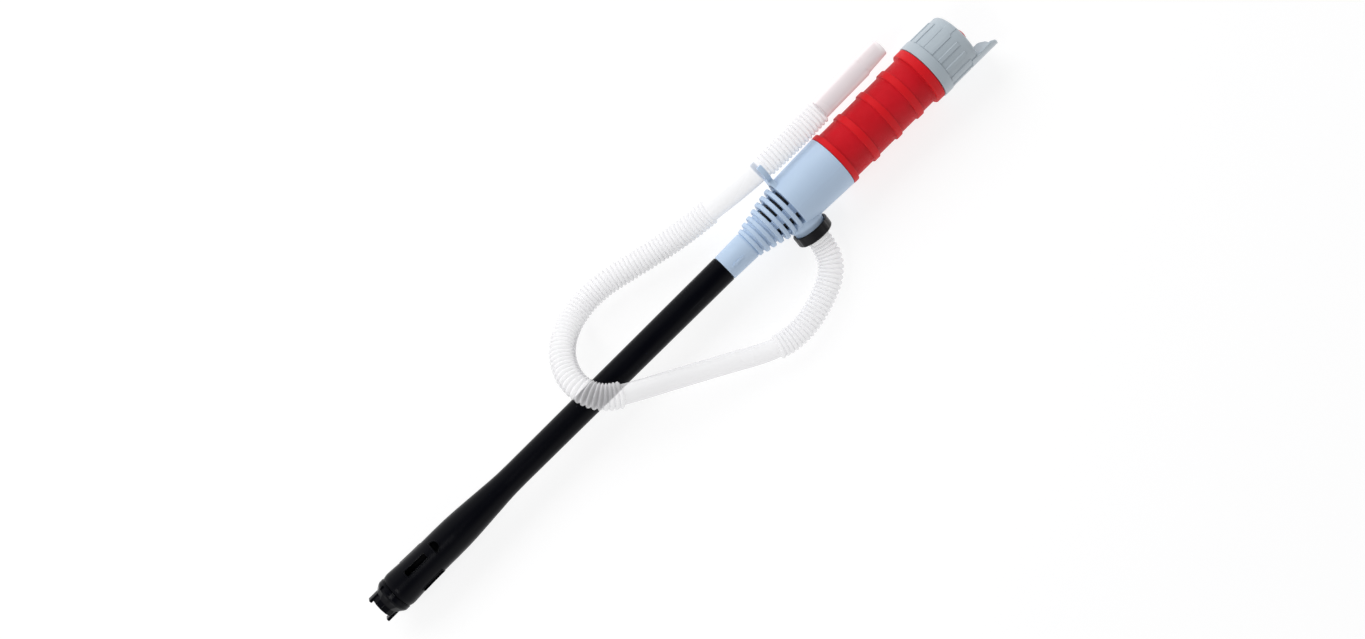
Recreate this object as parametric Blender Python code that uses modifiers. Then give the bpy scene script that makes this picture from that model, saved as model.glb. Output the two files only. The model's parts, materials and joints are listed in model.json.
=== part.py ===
"""A battery liquid transfer pump lying on its side, with its discharge hose clipped back along the grip.

The wand is built upright in its own frame: its axis is Z, the intake foot is at the bottom, the outlet
points to -Y and the hose clip to +Y. One empty then lays the wand down with the foot towards world -X.
Dimensions are in millimetres, and MM turns them into Blender's metres.
"""

import math

import bmesh
import bpy
import numpy as np
from mathutils import Matrix, Vector

MM = 0.001
GAP = 0.3
ROUND_STEPS = 32
SMALL_STEPS = 20

# The whole wand
TOTAL_LENGTH = 622.0
LYING_AXIS_HEIGHT = 24.0
ROLL = 18.0

# Intake foot and suction tube
FOOT_FACE = 4.0
FOOT_TOP = 20.0
FOOT_NOSE_RADIUS = 9.6
FOOT_BAND_RADIUS = 14.4
FOOT_BORE_RADIUS = 7.8
FOOT_SPIGOT_RADIUS, FOOT_SPIGOT_TOP = 11.8, 28.0
PRONG_SIZE = (6.4, 2.2)
PRONG_TOP = 13.0
PRONG_TIPS = {0.0: 1.6, 180.0: 0.0}
TUBE_TOP = 360.5
TUBE_BORE_RADIUS = 7.9
TUBE_MOUTH_RADIUS = 12.1
TUBE_SPIGOT_RADIUS = 9.3
SPIGOT_TOP = 381.7
SLOT_LOW, SLOT_HIGH = 35.8, 56.8
SLOT_WIDTH = 5.9
SLOT_ROLL = 53.0
PORT_LOW, PORT_HIGH = 62.8, 69.3
PORT_WIDTH = 10.9

# Drive line
SHAFT_RADIUS = 2.0
IMPELLER_LOW, IMPELLER_HIGH = 71.0, 84.0
IMPELLER_RADIUS = 11.3
BLADE_COUNT = 4
BLADE_PITCH = 38.0
HUB_RADIUS = 4.2
SCREW_RADIUS = 1.2
SHAFT_TOP = 424.0
MOTOR_SHAFT_RADIUS = 1.2
BUSH_HEIGHTS = {"lower_shaft_bush": 150.0, "middle_shaft_bush": 258.0, "upper_shaft_bush": 366.0}
BUSH_LENGTH = 6.0

# Neck, fins and pump housing
NECK_LOW = 360.8
FIN_CENTRES = (387.9, 393.4, 399.0, 405.0, 410.6, 416.4, 422.3)
FIN_RADII = (12.4, 14.1, 15.2, 16.6, 18.1, 19.0, 20.1)
FIN_THICKNESS = 3.4
CORE_SHARE = 0.82
HOUSING_LOW, HOUSING_TOP = 426.8, 473.2
HOUSING_RADII = (20.9, 22.6)
CHAMBER_TOP = 435.4
VENT_REACH = (9.0, 20.0)
VENT_SPANS = ((4.0, 71.0), (101.0, 134.0), (-71.0, -4.0), (-134.0, -101.0))

# Outlet, measured outwards from the wand's axis
OUTLET_Z = 429.5
OUTLET_LEAN = 4.0
BOSS_RADIUS, BOSS_BORE, BOSS_END = 12.6, 7.3, 27.0
BOSS_ROOT = 14.6
SPOUT_RADIUS, SPOUT_BORE = 7.0, 5.6
NUT_RADIUS = 15.4
NUT_FROM, NUT_TO = 23.3, 31.4
NUT_MOUTH = 9.8
NUT_FACE = 1.3

# Hose clip
CLIP_LOW, CLIP_HIGH = 426.8, 430.9
CLIP_CENTRE = 35.4
CLIP_BORE, CLIP_OUTER = 9.5, 11.4
CLIP_TIP = 40.0
CLIP_WEB = ((9.0, 18.0), (5.6, 25.8), (-5.6, 25.8), (-9.0, 18.0))

# Motor and seals
MOTOR_LOW, MOTOR_HIGH = 440.0, 461.0
MOTOR_RADIUS = 12.2
CAN_WALL = 0.8

# Battery tube, grip and batteries
BATTERY_TUBE_LOW, BATTERY_TUBE_TOP = 455.3, 592.0
BATTERY_TUBE_RADII = (17.3, 18.8)
BATTERY_FLOOR = (465.6, 467.2)
GRIP_LOW, GRIP_TOP = 473.5, 566.5
GRIP_BODY_RADIUS = 20.8
GRIP_RINGS = (
    (473.5, 478.3, 22.8),
    (495.4, 501.0, 22.0),
    (518.7, 524.1, 22.0),
    (540.2, 546.1, 22.0),
    (559.4, 566.5, 23.4),
)
BATTERY_RADIUS = 16.6
BATTERY_LENGTH = 60.2
BATTERY_START = 468.3
NUB_RADIUS, NUB_HEIGHT = 4.75, 1.5
STRIP_SIZE = (5.0, 0.5)

# End cap and switch
CAP_LOW, CAP_TOP = 566.8, 602.7
FLANGE_RADIUS, FLANGE_TOP = 24.0, 575.0
CAP_RADIUS = 22.9
CAP_BORE = 21.1
CAP_CEILING = 600.2
SWITCH_RING = (10.9, 9.4, 594.2)
SEAL_HEIGHT = 570.5
RIB_COUNT = 16
RIB_TURN, FIRST_RIB = 22.5, 12.5
RIB_SPAN = (574.0, 595.2)
RIB_WIDTH, RIB_RADIUS = 3.6, 23.5
BUTTON_RADIUS, BUTTON_TOP = 7.0, 608.3
BUTTON_TRAVEL = 2.0
WING_RADII = (23.4, 21.6)
WING_HALF = 17.0
WING_TURN = -8.0

# Hose: the route lies in the bench frame, x from the foot's tips, y from the wand's axis, z from the floor
HOSE_ROUTE = (
    (427.4, -28.7, 14.6),
    (426.8, -36.2, 12.2),
    (424.9, -44.6, 10.8),
    (421.2, -52.2, 10.3),
    (413.8, -59.5, 10.2),
    (403.2, -65.1, 10.2),
    (391.0, -69.3, 10.2),
    (378.0, -72.2, 10.2),
    (363.5, -72.8, 10.2),
    (347.5, -69.5, 11.2),
    (322.0, -57.0, 16.6),
    (295.5, -42.5, 24.5),
    (269.0, -28.2, 33.6),
    (241.6, -13.1, 42.2),
    (232.6, -6.6, 44.4),
    (226.0, 2.2, 45.0),
    (222.7, 15.2, 42.3),
    (225.4, 30.2, 34.6),
    (233.4, 42.0, 26.4),
    (245.0, 49.9, 18.9),
    (260.4, 54.8, 13.2),
    (278.6, 56.2, 10.9),
    (298.3, 53.6, 10.7),
    (319.2, 48.8, 11.4),
    (340.2, 44.2, 13.8),
    (360.2, 40.5, 18.6),
    (382.5, 37.7, 25.6),
    (407.0, 34.8, 32.0),
    (433.6, 33.2, 35.2),
    (461.5, 32.7, 35.3),
    (491.0, 33.3, 35.3),
)
# Each stretch runs between two route points, with the hose's radius at its start and end
HOSE_STRETCHES = (
    (0, 2, 9.0, 9.7),
    (2, 9, 9.9, 9.9),
    (9, 13, 7.7, 7.7),
    (13, 26, 10.3, 10.0),
    (26, 28, 8.1, 8.4),
    (28, 30, 9.7, 9.8),
)
HOSE_STEP = 0.5
HOSE_SPACING = 10.0
NOZZLE_LENGTH = 64.0
NOZZLE_BORE = 5.2
NOZZLE_RISE = (1.0, 0.2)

COLOURS = {
    "black": ((0.012, 0.012, 0.014), 0.42, 0.0),
    "blue": ((0.40, 0.51, 0.67), 0.45, 0.0),
    "red": ((0.52, 0.015, 0.022), 0.6, 0.0),
    "grey": ((0.30, 0.36, 0.41), 0.45, 0.0),
    "white": ((0.75, 0.75, 0.73), 0.45, 0.0),
    "clear": ((0.80, 0.81, 0.82), 0.3, 0.0),
    "steel": ((0.60, 0.60, 0.61), 0.3, 1.0),
    "brass": ((0.72, 0.52, 0.22), 0.3, 1.0),
    "magnet": ((0.05, 0.05, 0.055), 0.6, 0.0),
    "seal": ((0.02, 0.02, 0.02), 0.7, 0.0),
    "cell": ((0.08, 0.09, 0.13), 0.35, 0.0),
}


def clear_scene():
    for old in list(bpy.data.objects):
        bpy.data.objects.remove(old, do_unlink=True)


def make_collection(name, hidden=False):
    group = bpy.data.collections.new(name)
    bpy.context.scene.collection.children.link(group)
    group.hide_render = hidden
    return group


def make_empty(name, parent=None, place=None):
    empty = bpy.data.objects.new(name, None)
    PARTS.objects.link(empty)
    empty.parent = parent
    empty.matrix_basis = place or Matrix()
    return empty


def make_material(name, colour):
    base, roughness, metallic = COLOURS[colour]
    material = bpy.data.materials.new(name)
    material.use_nodes = True
    shader = material.node_tree.nodes["Principled BSDF"]
    shader.inputs["Base Color"].default_value = (*base, 1.0)
    shader.inputs["Roughness"].default_value = roughness
    shader.inputs["Metallic"].default_value = metallic
    return material


# ---- shapes ----


def new_shape(name, bm):
    """Turns a bmesh in millimetres into an object of the cutters' collection; part() moves it on."""
    bm.transform(Matrix.Scale(MM, 4))
    mesh = bpy.data.meshes.new(name)
    bm.to_mesh(mesh)
    bm.free()
    shape = bpy.data.objects.new(name, mesh)
    CUTTERS.objects.link(shape)
    shape.hide_render = True
    shape.display_type = "WIRE"
    return shape


def turned(name, outline, steps=ROUND_STEPS):
    """A body of revolution about Z. Its (radius, height) outline runs down the outer side, and closes
    through a bore unless its ends are on the axis."""
    bm = bmesh.new()
    corners = [bm.verts.new((radius, 0.0, height)) for radius, height in outline]
    for start, end in zip(corners, corners[1:]):
        bm.edges.new((start, end))
    if outline[0][0] > 0.0:
        bm.edges.new((corners[-1], corners[0]))
    shape = new_shape(name, bm)
    screw = shape.modifiers.new("Turn", "SCREW")
    screw.axis = "Z"
    screw.angle = math.tau
    screw.steps = screw.render_steps = steps
    screw.use_merge_vertices = True
    screw.merge_threshold = 1e-6
    return shape


def ring(name, outer, inner, low, high, steps=ROUND_STEPS):
    return turned(name, [(outer, high), (outer, low), (inner, low), (inner, high)], steps)


def rod(name, radius, low, high, steps=ROUND_STEPS):
    return turned(name, [(0.0, high), (radius, high), (radius, low), (0.0, low)], steps)


def around(angle):
    """A turn about the wand's axis. Angles start at the clip's side, +Y, and run anticlockwise."""
    return Matrix.Rotation(math.radians(angle), 4, "Z")


def block(name, size, centre, turn=None):
    """A box of a size about a centre, then moved by a matrix."""
    bm = bmesh.new()
    bmesh.ops.create_cube(bm, size=1.0)
    bm.transform(Matrix.Translation(centre) @ Matrix.Diagonal((*size, 1.0)))
    bm.transform(turn or Matrix())
    return new_shape(name, bm)


def blocks(name, boxes):
    """Several boxes as one tool, each (size, centre, matrix)."""
    whole = bmesh.new()
    for size, centre, turn in boxes:
        made = bmesh.ops.create_cube(whole, size=1.0)["verts"]
        matrix = turn @ Matrix.Translation(centre) @ Matrix.Diagonal((*size, 1.0))
        bmesh.ops.transform(whole, matrix=matrix, verts=made)
    return new_shape(name, whole)


def prism(name, outline, thickness, place):
    """A flat outline in millimetres given a thickness, then moved by a matrix."""
    curve = bpy.data.curves.new(name, "CURVE")
    curve.dimensions = "2D"
    curve.fill_mode = "BOTH"
    curve.extrude = thickness / 2
    spline = curve.splines.new("POLY")
    spline.points.add(len(outline) - 1)
    for point, (x, y) in zip(spline.points, outline):
        point.co = (x, y, 0.0, 1.0)
    spline.use_cyclic_u = True
    flat = bpy.data.objects.new(name, curve)
    CUTTERS.objects.link(flat)
    depsgraph = bpy.context.evaluated_depsgraph_get()
    bm = bmesh.new()
    bm.from_mesh(bpy.data.meshes.new_from_object(flat.evaluated_get(depsgraph)))
    bmesh.ops.remove_doubles(bm, verts=bm.verts, dist=1e-4)
    bm.transform(place)
    bpy.data.objects.remove(flat, do_unlink=True)
    return new_shape(name, bm)


def arc(centre, radius, start, end, count):
    """Points on an arc, from one angle to another."""
    angles = np.radians(np.linspace(start, end, count))
    return [(centre[0] + radius * math.cos(a), centre[1] + radius * math.sin(a)) for a in angles]


def combine(target, tool, operation):
    """Joins, cuts or keeps the tool's volume with an exact Boolean."""
    modifier = target.modifiers.new(operation.title(), "BOOLEAN")
    modifier.operation = operation
    modifier.solver = "EXACT"
    modifier.object = tool
    return target


def part(shape, colour, parent, place=None):
    """Applies the shape's modifiers and makes it a finished part under its parent."""
    depsgraph = bpy.context.evaluated_depsgraph_get()
    mesh = bpy.data.meshes.new_from_object(shape.evaluated_get(depsgraph))
    shape.modifiers.clear()
    shape.data = mesh
    mesh.shade_smooth()
    mesh.set_sharp_from_angle(angle=math.radians(32.0))
    mesh.materials.clear()
    mesh.materials.append(make_material(shape.name, colour))
    CUTTERS.objects.unlink(shape)
    PARTS.objects.link(shape)
    shape.hide_render = False
    shape.display_type = "TEXTURED"
    shape.parent = parent
    shape.matrix_basis = place or Matrix()
    return shape


# ---- intake ----


def intake_foot(wand):
    """The strainer foot: a flat-sided nose in a cone and band, two prongs, and a spigot for the tube."""
    foot = turned(
        "intake_foot",
        [
            (FOOT_SPIGOT_RADIUS - 0.8, FOOT_SPIGOT_TOP),
            (FOOT_SPIGOT_RADIUS, FOOT_SPIGOT_TOP - 1.0),
            (FOOT_SPIGOT_RADIUS, FOOT_TOP),
            (FOOT_BAND_RADIUS, FOOT_TOP),
            (FOOT_BAND_RADIUS, 16.4),
            (13.6, 15.4),
            (10.2, 9.6),
            (FOOT_NOSE_RADIUS, FOOT_FACE + 0.6),
            (FOOT_NOSE_RADIUS - 0.6, FOOT_FACE),
            (FOOT_BORE_RADIUS, FOOT_FACE),
            (FOOT_BORE_RADIUS, 12.0),
            (10.0, 17.0),
            (10.0, FOOT_SPIGOT_TOP),
        ],
    )
    width, thickness = PRONG_SIZE
    for angle, tip in PRONG_TIPS.items():
        prong = block(
            f"prong_{angle:.0f}",
            (width, thickness, PRONG_TOP - tip),
            (0.0, FOOT_NOSE_RADIUS + 0.1, (PRONG_TOP + tip) / 2),
            around(angle),
        )
        combine(foot, prong, "UNION")
    part(foot, "black", wand)


def suction_tube(wand):
    """The long tube, flared and slotted at its foot, with a spigot into the neck."""
    tube = turned(
        "suction_tube",
        [
            (TUBE_SPIGOT_RADIUS, SPIGOT_TOP),
            (TUBE_SPIGOT_RADIUS, TUBE_TOP),
            (10.7, TUBE_TOP),
            (10.0, 160.0),
            (9.9, 145.0),
            (10.5, 126.0),
            (12.2, 102.0),
            (13.5, 82.0),
            (13.5, 60.0),
            (13.8, 38.0),
            (14.8, 23.0),
            (14.3, FOOT_TOP + GAP),
            (TUBE_MOUTH_RADIUS, FOOT_TOP + GAP),
            (TUBE_MOUTH_RADIUS, 86.0),
            (TUBE_BORE_RADIUS, 142.0),
            (TUBE_BORE_RADIUS, SPIGOT_TOP),
        ],
    )
    height = SLOT_HIGH - SLOT_LOW
    middle = (SLOT_HIGH + SLOT_LOW) / 2
    slots = [
        ((SLOT_WIDTH, 10.0, height), (0.0, 14.0, middle), around(SLOT_ROLL + 90.0 * quarter))
        for quarter in range(4)
    ]
    combine(tube, blocks("slots", slots), "DIFFERENCE")
    half = PORT_WIDTH / 2
    depth = PORT_HIGH - PORT_LOW
    bulge = [(x, y * depth / half) for x, y in arc((0.0, 0.0), half, 0.0, 180.0, 9)]
    for side in (0.0, 180.0):
        facing = around(SLOT_ROLL + side) @ Matrix.Translation((0.0, 14.0, PORT_LOW))
        port = prism(f"port_{side:.0f}", bulge, 10.0, facing @ Matrix.Rotation(math.radians(90), 4, "X"))
        combine(tube, port, "DIFFERENCE")
    part(tube, "black", wand)


# ---- drive line ----


def impeller(drive):
    """Four pitched blades on a hub, trimmed round, with a stepped bore for the shaft and its screw."""
    height = IMPELLER_HIGH - IMPELLER_LOW
    middle = (IMPELLER_HIGH + IMPELLER_LOW) / 2
    fan = rod("impeller", HUB_RADIUS, IMPELLER_LOW, IMPELLER_HIGH, SMALL_STEPS)
    for count in range(BLADE_COUNT):
        pitch = Matrix.Translation((0.0, 0.0, middle)) @ Matrix.Rotation(math.radians(BLADE_PITCH), 4, "Y")
        blade = block(
            f"blade_{count}",
            (1.6, IMPELLER_RADIUS, height * 1.1),
            (0.0, 1.0 + IMPELLER_RADIUS / 2, 0.0),
            around(90.0 * count) @ pitch,
        )
        combine(fan, blade, "UNION")
    combine(fan, rod("impeller_envelope", IMPELLER_RADIUS, IMPELLER_LOW, IMPELLER_HIGH), "INTERSECT")
    bore = turned(
        "impeller_bore",
        [
            (0.0, IMPELLER_HIGH + 1.0),
            (SHAFT_RADIUS + GAP, IMPELLER_HIGH + 1.0),
            (SHAFT_RADIUS + GAP, IMPELLER_LOW + 4.0),
            (SCREW_RADIUS + GAP, IMPELLER_LOW + 4.0),
            (SCREW_RADIUS + GAP, IMPELLER_LOW - 1.0),
            (0.0, IMPELLER_LOW - 1.0),
        ],
        SMALL_STEPS,
    )
    combine(fan, bore, "DIFFERENCE")
    part(fan, "white", drive)


def impeller_screw(drive):
    screw = turned(
        "impeller_screw",
        [
            (0.0, IMPELLER_LOW + 9.0),
            (SCREW_RADIUS, IMPELLER_LOW + 9.0),
            (SCREW_RADIUS, IMPELLER_LOW - GAP),
            (3.0, IMPELLER_LOW - GAP),
            (3.0, IMPELLER_LOW - 1.6),
            (2.2, IMPELLER_LOW - 2.4),
            (0.0, IMPELLER_LOW - 2.4),
        ],
        SMALL_STEPS,
    )
    combine(screw, block("screw_slot", (0.8, 8.0, 1.6), (0.0, 0.0, IMPELLER_LOW - 2.4)), "DIFFERENCE")
    part(screw, "steel", drive)


def drive_shaft(drive):
    """The long shaft, drilled at its foot for the impeller's screw."""
    foot = IMPELLER_LOW + 4.0 + GAP
    shaft = turned(
        "drive_shaft",
        [
            (0.0, SHAFT_TOP),
            (SHAFT_RADIUS, SHAFT_TOP),
            (SHAFT_RADIUS, foot),
            (SCREW_RADIUS + GAP, foot),
            (SCREW_RADIUS + GAP, foot + 8.0),
            (0.0, foot + 8.0),
        ],
        16,
    )
    part(shaft, "steel", drive)


def shaft_bushes(wand):
    """Three spiders that centre the shaft and let the liquid past."""
    for name, low in BUSH_HEIGHTS.items():
        bush = rod(name, TUBE_BORE_RADIUS - GAP, low, low + BUSH_LENGTH, SMALL_STEPS)
        bore = rod(f"{name}_bore", SHAFT_RADIUS + GAP, low - 1.0, low + BUSH_LENGTH + 1.0, 16)
        combine(bush, bore, "DIFFERENCE")
        windows = [
            ((4.6, 2.6, BUSH_LENGTH + 2.0), (0.0, 5.2, low + BUSH_LENGTH / 2), around(120.0 * third))
            for third in range(3)
        ]
        combine(bush, blocks(f"{name}_windows", windows), "DIFFERENCE")
        part(bush, "white", wand)


def shaft_coupling(drive):
    """The sleeve that joins the motor's shaft to the drive shaft."""
    sleeve = turned(
        "shaft_coupling",
        [
            (3.6, SHAFT_TOP + 7.0),
            (3.6, SHAFT_TOP - 8.0),
            (SHAFT_RADIUS + GAP, SHAFT_TOP - 8.0),
            (SHAFT_RADIUS + GAP, SHAFT_TOP + GAP),
            (MOTOR_SHAFT_RADIUS + GAP, SHAFT_TOP + GAP),
            (MOTOR_SHAFT_RADIUS + GAP, SHAFT_TOP + 7.0),
        ],
        SMALL_STEPS,
    )
    part(sleeve, "brass", drive)


# ---- pump housing ----


def core_radius(height):
    """Radius of the cone between the fins at a height."""
    radii = [CORE_SHARE * radius for radius in FIN_RADII]
    return float(np.interp(height, FIN_CENTRES, radii))


def fin_outline():
    """The finned cone's outline, from its top fin down."""
    half = FIN_THICKNESS / 2
    outline = []
    for centre, radius in reversed(list(zip(FIN_CENTRES, FIN_RADII))):
        outline += [
            (core_radius(centre + half), centre + half),
            (radius, centre + half - 0.3),
            (radius - 0.3, centre - half),
            (core_radius(centre - half), centre - half),
        ]
    return outline


def cut_vents(housing):
    """Opens the last four gaps between the fins over four sectors, clear of the outlet boss."""
    levels = [*FIN_CENTRES[3:], HOUSING_LOW + FIN_THICKNESS / 2]
    near, far = VENT_REACH
    for low, high in zip(levels, levels[1:]):
        place = around(90.0) @ Matrix.Translation((0.0, 0.0, (low + high) / 2))
        for start, end in VENT_SPANS:
            sector = [*arc((0.0, 0.0), far, start, end, 6), *arc((0.0, 0.0), near, end, start, 6)]
            combine(housing, prism("vent", sector, high - low - FIN_THICKNESS, place), "DIFFERENCE")


def pump_housing(wand, outlet):
    """One moulding: neck sleeve, finned cone, motor housing, outlet boss and hose clip."""
    low_radius, top_radius = HOUSING_RADII
    housing = turned(
        "pump_housing",
        [
            (0.0, HOUSING_TOP),
            (top_radius, HOUSING_TOP),
            (low_radius + 0.4, HOUSING_LOW + 5.0),
            (low_radius, HOUSING_LOW + 0.8),
            (low_radius - 0.8, HOUSING_LOW),
            (core_radius(HOUSING_LOW), HOUSING_LOW),
            *fin_outline(),
            (11.2, 384.6),
            (11.3, 384.0),
            (10.7, NECK_LOW + 0.4),
            (10.3, NECK_LOW),
            (0.0, NECK_LOW),
        ],
    )
    boss_outline = [
        (0.0, BOSS_END),
        (BOSS_RADIUS, BOSS_END),
        (BOSS_RADIUS, NUT_FROM - 1.5),
        (BOSS_ROOT, NUT_FROM - 4.0),
        (BOSS_ROOT, 8.0),
        (0.0, 8.0),
    ]
    boss = turned("boss", boss_outline, 32)
    boss.matrix_basis = outlet
    combine(housing, boss, "UNION")
    clip = ring("clip_ring", CLIP_OUTER, CLIP_BORE, CLIP_LOW, CLIP_HIGH, 32)
    clip.matrix_basis = Matrix.Translation((0.0, CLIP_CENTRE * MM, 0.0))
    mouth = block("clip_mouth", (40.0, 20.0, 20.0), (0.0, CLIP_TIP + 10.0, CLIP_LOW))
    combine(clip, mouth, "DIFFERENCE")
    combine(housing, clip, "UNION")
    middle = Matrix.Translation((0.0, 0.0, (CLIP_LOW + CLIP_HIGH) / 2))
    combine(housing, prism("clip_web", CLIP_WEB, CLIP_HIGH - CLIP_LOW - 0.4, middle), "UNION")
    cavity = turned(
        "housing_cavity",
        [
            (0.0, HOUSING_TOP + 1.0),
            (BATTERY_TUBE_RADII[1] + GAP, HOUSING_TOP + 1.0),
            (BATTERY_TUBE_RADII[1] + GAP, BATTERY_TUBE_LOW - GAP),
            (15.6, BATTERY_TUBE_LOW - GAP),
            (15.6, CHAMBER_TOP),
            (13.8, CHAMBER_TOP),
            (13.8, 416.0),
            (12.2, 405.0),
            (TUBE_SPIGOT_RADIUS + GAP, 391.0),
            (TUBE_SPIGOT_RADIUS + GAP, NECK_LOW - 1.0),
            (0.0, NECK_LOW - 1.0),
        ],
    )
    combine(housing, cavity, "DIFFERENCE")
    bore = rod("boss_bore", BOSS_BORE, 2.0, BOSS_END + 5.0, SMALL_STEPS)
    bore.matrix_basis = outlet
    combine(housing, bore, "DIFFERENCE")
    cut_vents(housing)
    part(housing, "blue", wand)


def flow_chamber(wand, outlet):
    """The inner water way: a pipe that widens to a chamber, with a spout into the outlet boss."""
    chamber = turned(
        "flow_chamber",
        [
            (0.0, CHAMBER_TOP - GAP),
            (13.3, CHAMBER_TOP - GAP),
            (13.3, 420.0),
            (TUBE_SPIGOT_RADIUS, 402.0),
            (TUBE_SPIGOT_RADIUS, SPIGOT_TOP + GAP),
            (0.0, SPIGOT_TOP + GAP),
        ],
        32,
    )
    spout = rod("spout", SPOUT_RADIUS, 4.0, BOSS_END - 1.0, SMALL_STEPS)
    spout.matrix_basis = outlet
    combine(chamber, spout, "UNION")
    water = turned(
        "water_way",
        [
            (0.0, CHAMBER_TOP + 1.0),
            (11.8, CHAMBER_TOP + 1.0),
            (11.8, 420.6),
            (TUBE_BORE_RADIUS, 402.6),
            (TUBE_BORE_RADIUS, SPIGOT_TOP - 1.0),
            (0.0, SPIGOT_TOP - 1.0),
        ],
        32,
    )
    combine(chamber, water, "DIFFERENCE")
    bore = rod("spout_bore", SPOUT_BORE, 5.0, BOSS_END + 2.0, SMALL_STEPS)
    bore.matrix_basis = outlet
    combine(chamber, bore, "DIFFERENCE")
    part(chamber, "black", wand)


def outlet_parts(nut_axis, wand, outlet):
    """The union nut with shallow finger flats, its gasket and the flanged tail that takes the hose."""
    nut = turned(
        "outlet_nut",
        [
            (NUT_RADIUS - 0.8, NUT_TO),
            (NUT_RADIUS, NUT_TO - 0.9),
            (NUT_RADIUS, NUT_FROM + 0.6),
            (NUT_RADIUS - 0.6, NUT_FROM),
            (BOSS_RADIUS + GAP, NUT_FROM),
            (BOSS_RADIUS + GAP, NUT_TO - NUT_FACE),
            (NUT_MOUTH, NUT_TO - NUT_FACE),
            (NUT_MOUTH, NUT_TO),
        ],
    )
    part(nut, "black", nut_axis)
    part(ring("outlet_gasket", 12.2, 7.4, BOSS_END + GAP, BOSS_END + 1.1, 32), "seal", wand, outlet)
    flange = BOSS_END + 1.4
    tail = turned(
        "hose_tail",
        [
            (12.2, NUT_TO - NUT_FACE - GAP),
            (12.2, flange),
            (SPOUT_BORE - GAP, flange),
            (SPOUT_BORE - GAP, 17.0),
            (4.2, 17.0),
            (4.2, NUT_TO - NUT_FACE - GAP),
        ],
        SMALL_STEPS,
    )
    part(tail, "white", wand, outlet)


# ---- motor ----


def seals(wand):
    """The bulkhead over the water chamber, and the lip seal in its pocket."""
    low, high = CHAMBER_TOP + GAP, MOTOR_LOW - GAP
    bulkhead = turned(
        "seal_bulkhead",
        [
            (15.3, high),
            (15.3, low),
            (4.5, low),
            (4.5, high - 0.9),
            (MOTOR_SHAFT_RADIUS + 0.8, high - 0.9),
            (MOTOR_SHAFT_RADIUS + 0.8, high),
        ],
    )
    part(bulkhead, "white", wand)
    part(ring("shaft_seal", 4.2, MOTOR_SHAFT_RADIUS + GAP, low, high - 1.2, SMALL_STEPS), "seal", wand)


def motor(wand, drive):
    """A can with its ring magnet, the rotor, the end bell, a sleeve around it and the live contact."""
    inner = MOTOR_RADIUS - CAN_WALL
    can = turned(
        "motor_can",
        [
            (MOTOR_RADIUS, MOTOR_HIGH),
            (MOTOR_RADIUS, MOTOR_LOW),
            (MOTOR_SHAFT_RADIUS + GAP, MOTOR_LOW),
            (MOTOR_SHAFT_RADIUS + GAP, MOTOR_LOW + CAN_WALL),
            (inner, MOTOR_LOW + CAN_WALL),
            (inner, MOTOR_HIGH),
        ],
        32,
    )
    part(can, "steel", wand)
    part(ring("motor_magnet", inner - GAP, 9.0, MOTOR_LOW + 4.0, MOTOR_HIGH - 4.0, 32), "magnet", wand)
    rotor = turned(
        "motor_rotor",
        [
            (0.0, MOTOR_HIGH + 1.5),
            (MOTOR_SHAFT_RADIUS, MOTOR_HIGH + 1.5),
            (MOTOR_SHAFT_RADIUS, MOTOR_HIGH - 1.5),
            (3.0, MOTOR_HIGH - 1.5),
            (3.0, MOTOR_HIGH - 4.0),
            (8.4, MOTOR_HIGH - 4.0),
            (8.4, MOTOR_LOW + 4.0),
            (MOTOR_SHAFT_RADIUS, MOTOR_LOW + 4.0),
            (MOTOR_SHAFT_RADIUS, SHAFT_TOP + GAP * 2),
            (0.0, SHAFT_TOP + GAP * 2),
        ],
        SMALL_STEPS,
    )
    part(rotor, "steel", drive)
    bell = turned(
        "motor_end_bell",
        [
            (0.0, MOTOR_HIGH + 3.6),
            (MOTOR_RADIUS, MOTOR_HIGH + 3.6),
            (MOTOR_RADIUS, MOTOR_HIGH + GAP),
            (inner - GAP, MOTOR_HIGH + GAP),
            (inner - GAP, MOTOR_HIGH - 1.0),
            (MOTOR_SHAFT_RADIUS + GAP, MOTOR_HIGH - 1.0),
            (MOTOR_SHAFT_RADIUS + GAP, MOTOR_HIGH + 2.0),
            (0.0, MOTOR_HIGH + 2.0),
        ],
        32,
    )
    part(bell, "white", wand)
    part(ring("motor_sleeve", 15.3, MOTOR_RADIUS + GAP, MOTOR_LOW, MOTOR_HIGH + 3.0, 32), "seal", wand)
    floor_top = BATTERY_FLOOR[1]
    contact = turned(
        "motor_contact",
        [
            (0.0, floor_top + 0.8),
            (7.0, floor_top + 0.8),
            (7.0, floor_top + GAP),
            (1.4, floor_top + GAP),
            (1.4, BATTERY_FLOOR[0] - 0.4),
            (0.0, BATTERY_FLOOR[0] - 0.4),
        ],
        SMALL_STEPS,
    )
    part(contact, "brass", wand)


# ---- grip and batteries ----


def battery_tube(wand):
    """The tube that holds the cells, with a floor over the motor and a groove for the return strip."""
    inner, outer = BATTERY_TUBE_RADII
    floor_low, floor_top = BATTERY_FLOOR
    tube = turned(
        "battery_tube",
        [
            (outer, BATTERY_TUBE_TOP),
            (outer, BATTERY_TUBE_LOW),
            (15.6, BATTERY_TUBE_LOW),
            (15.6, floor_low),
            (1.7, floor_low),
            (1.7, floor_top),
            (inner, floor_top),
            (inner, BATTERY_TUBE_TOP),
        ],
        36,
    )
    length = BATTERY_TUBE_TOP - floor_top
    groove = block("strip_groove", (5.8, 3.0, length), (0.0, -16.7, floor_top + 1.0 + length / 2))
    combine(tube, groove, "DIFFERENCE")
    part(tube, "white", wand)
    width, thickness = STRIP_SIZE
    strip = block("contact_strip", (width, thickness, length - 3.0), (0.0, -17.6, floor_top + length / 2))
    part(strip, "brass", wand)


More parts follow.
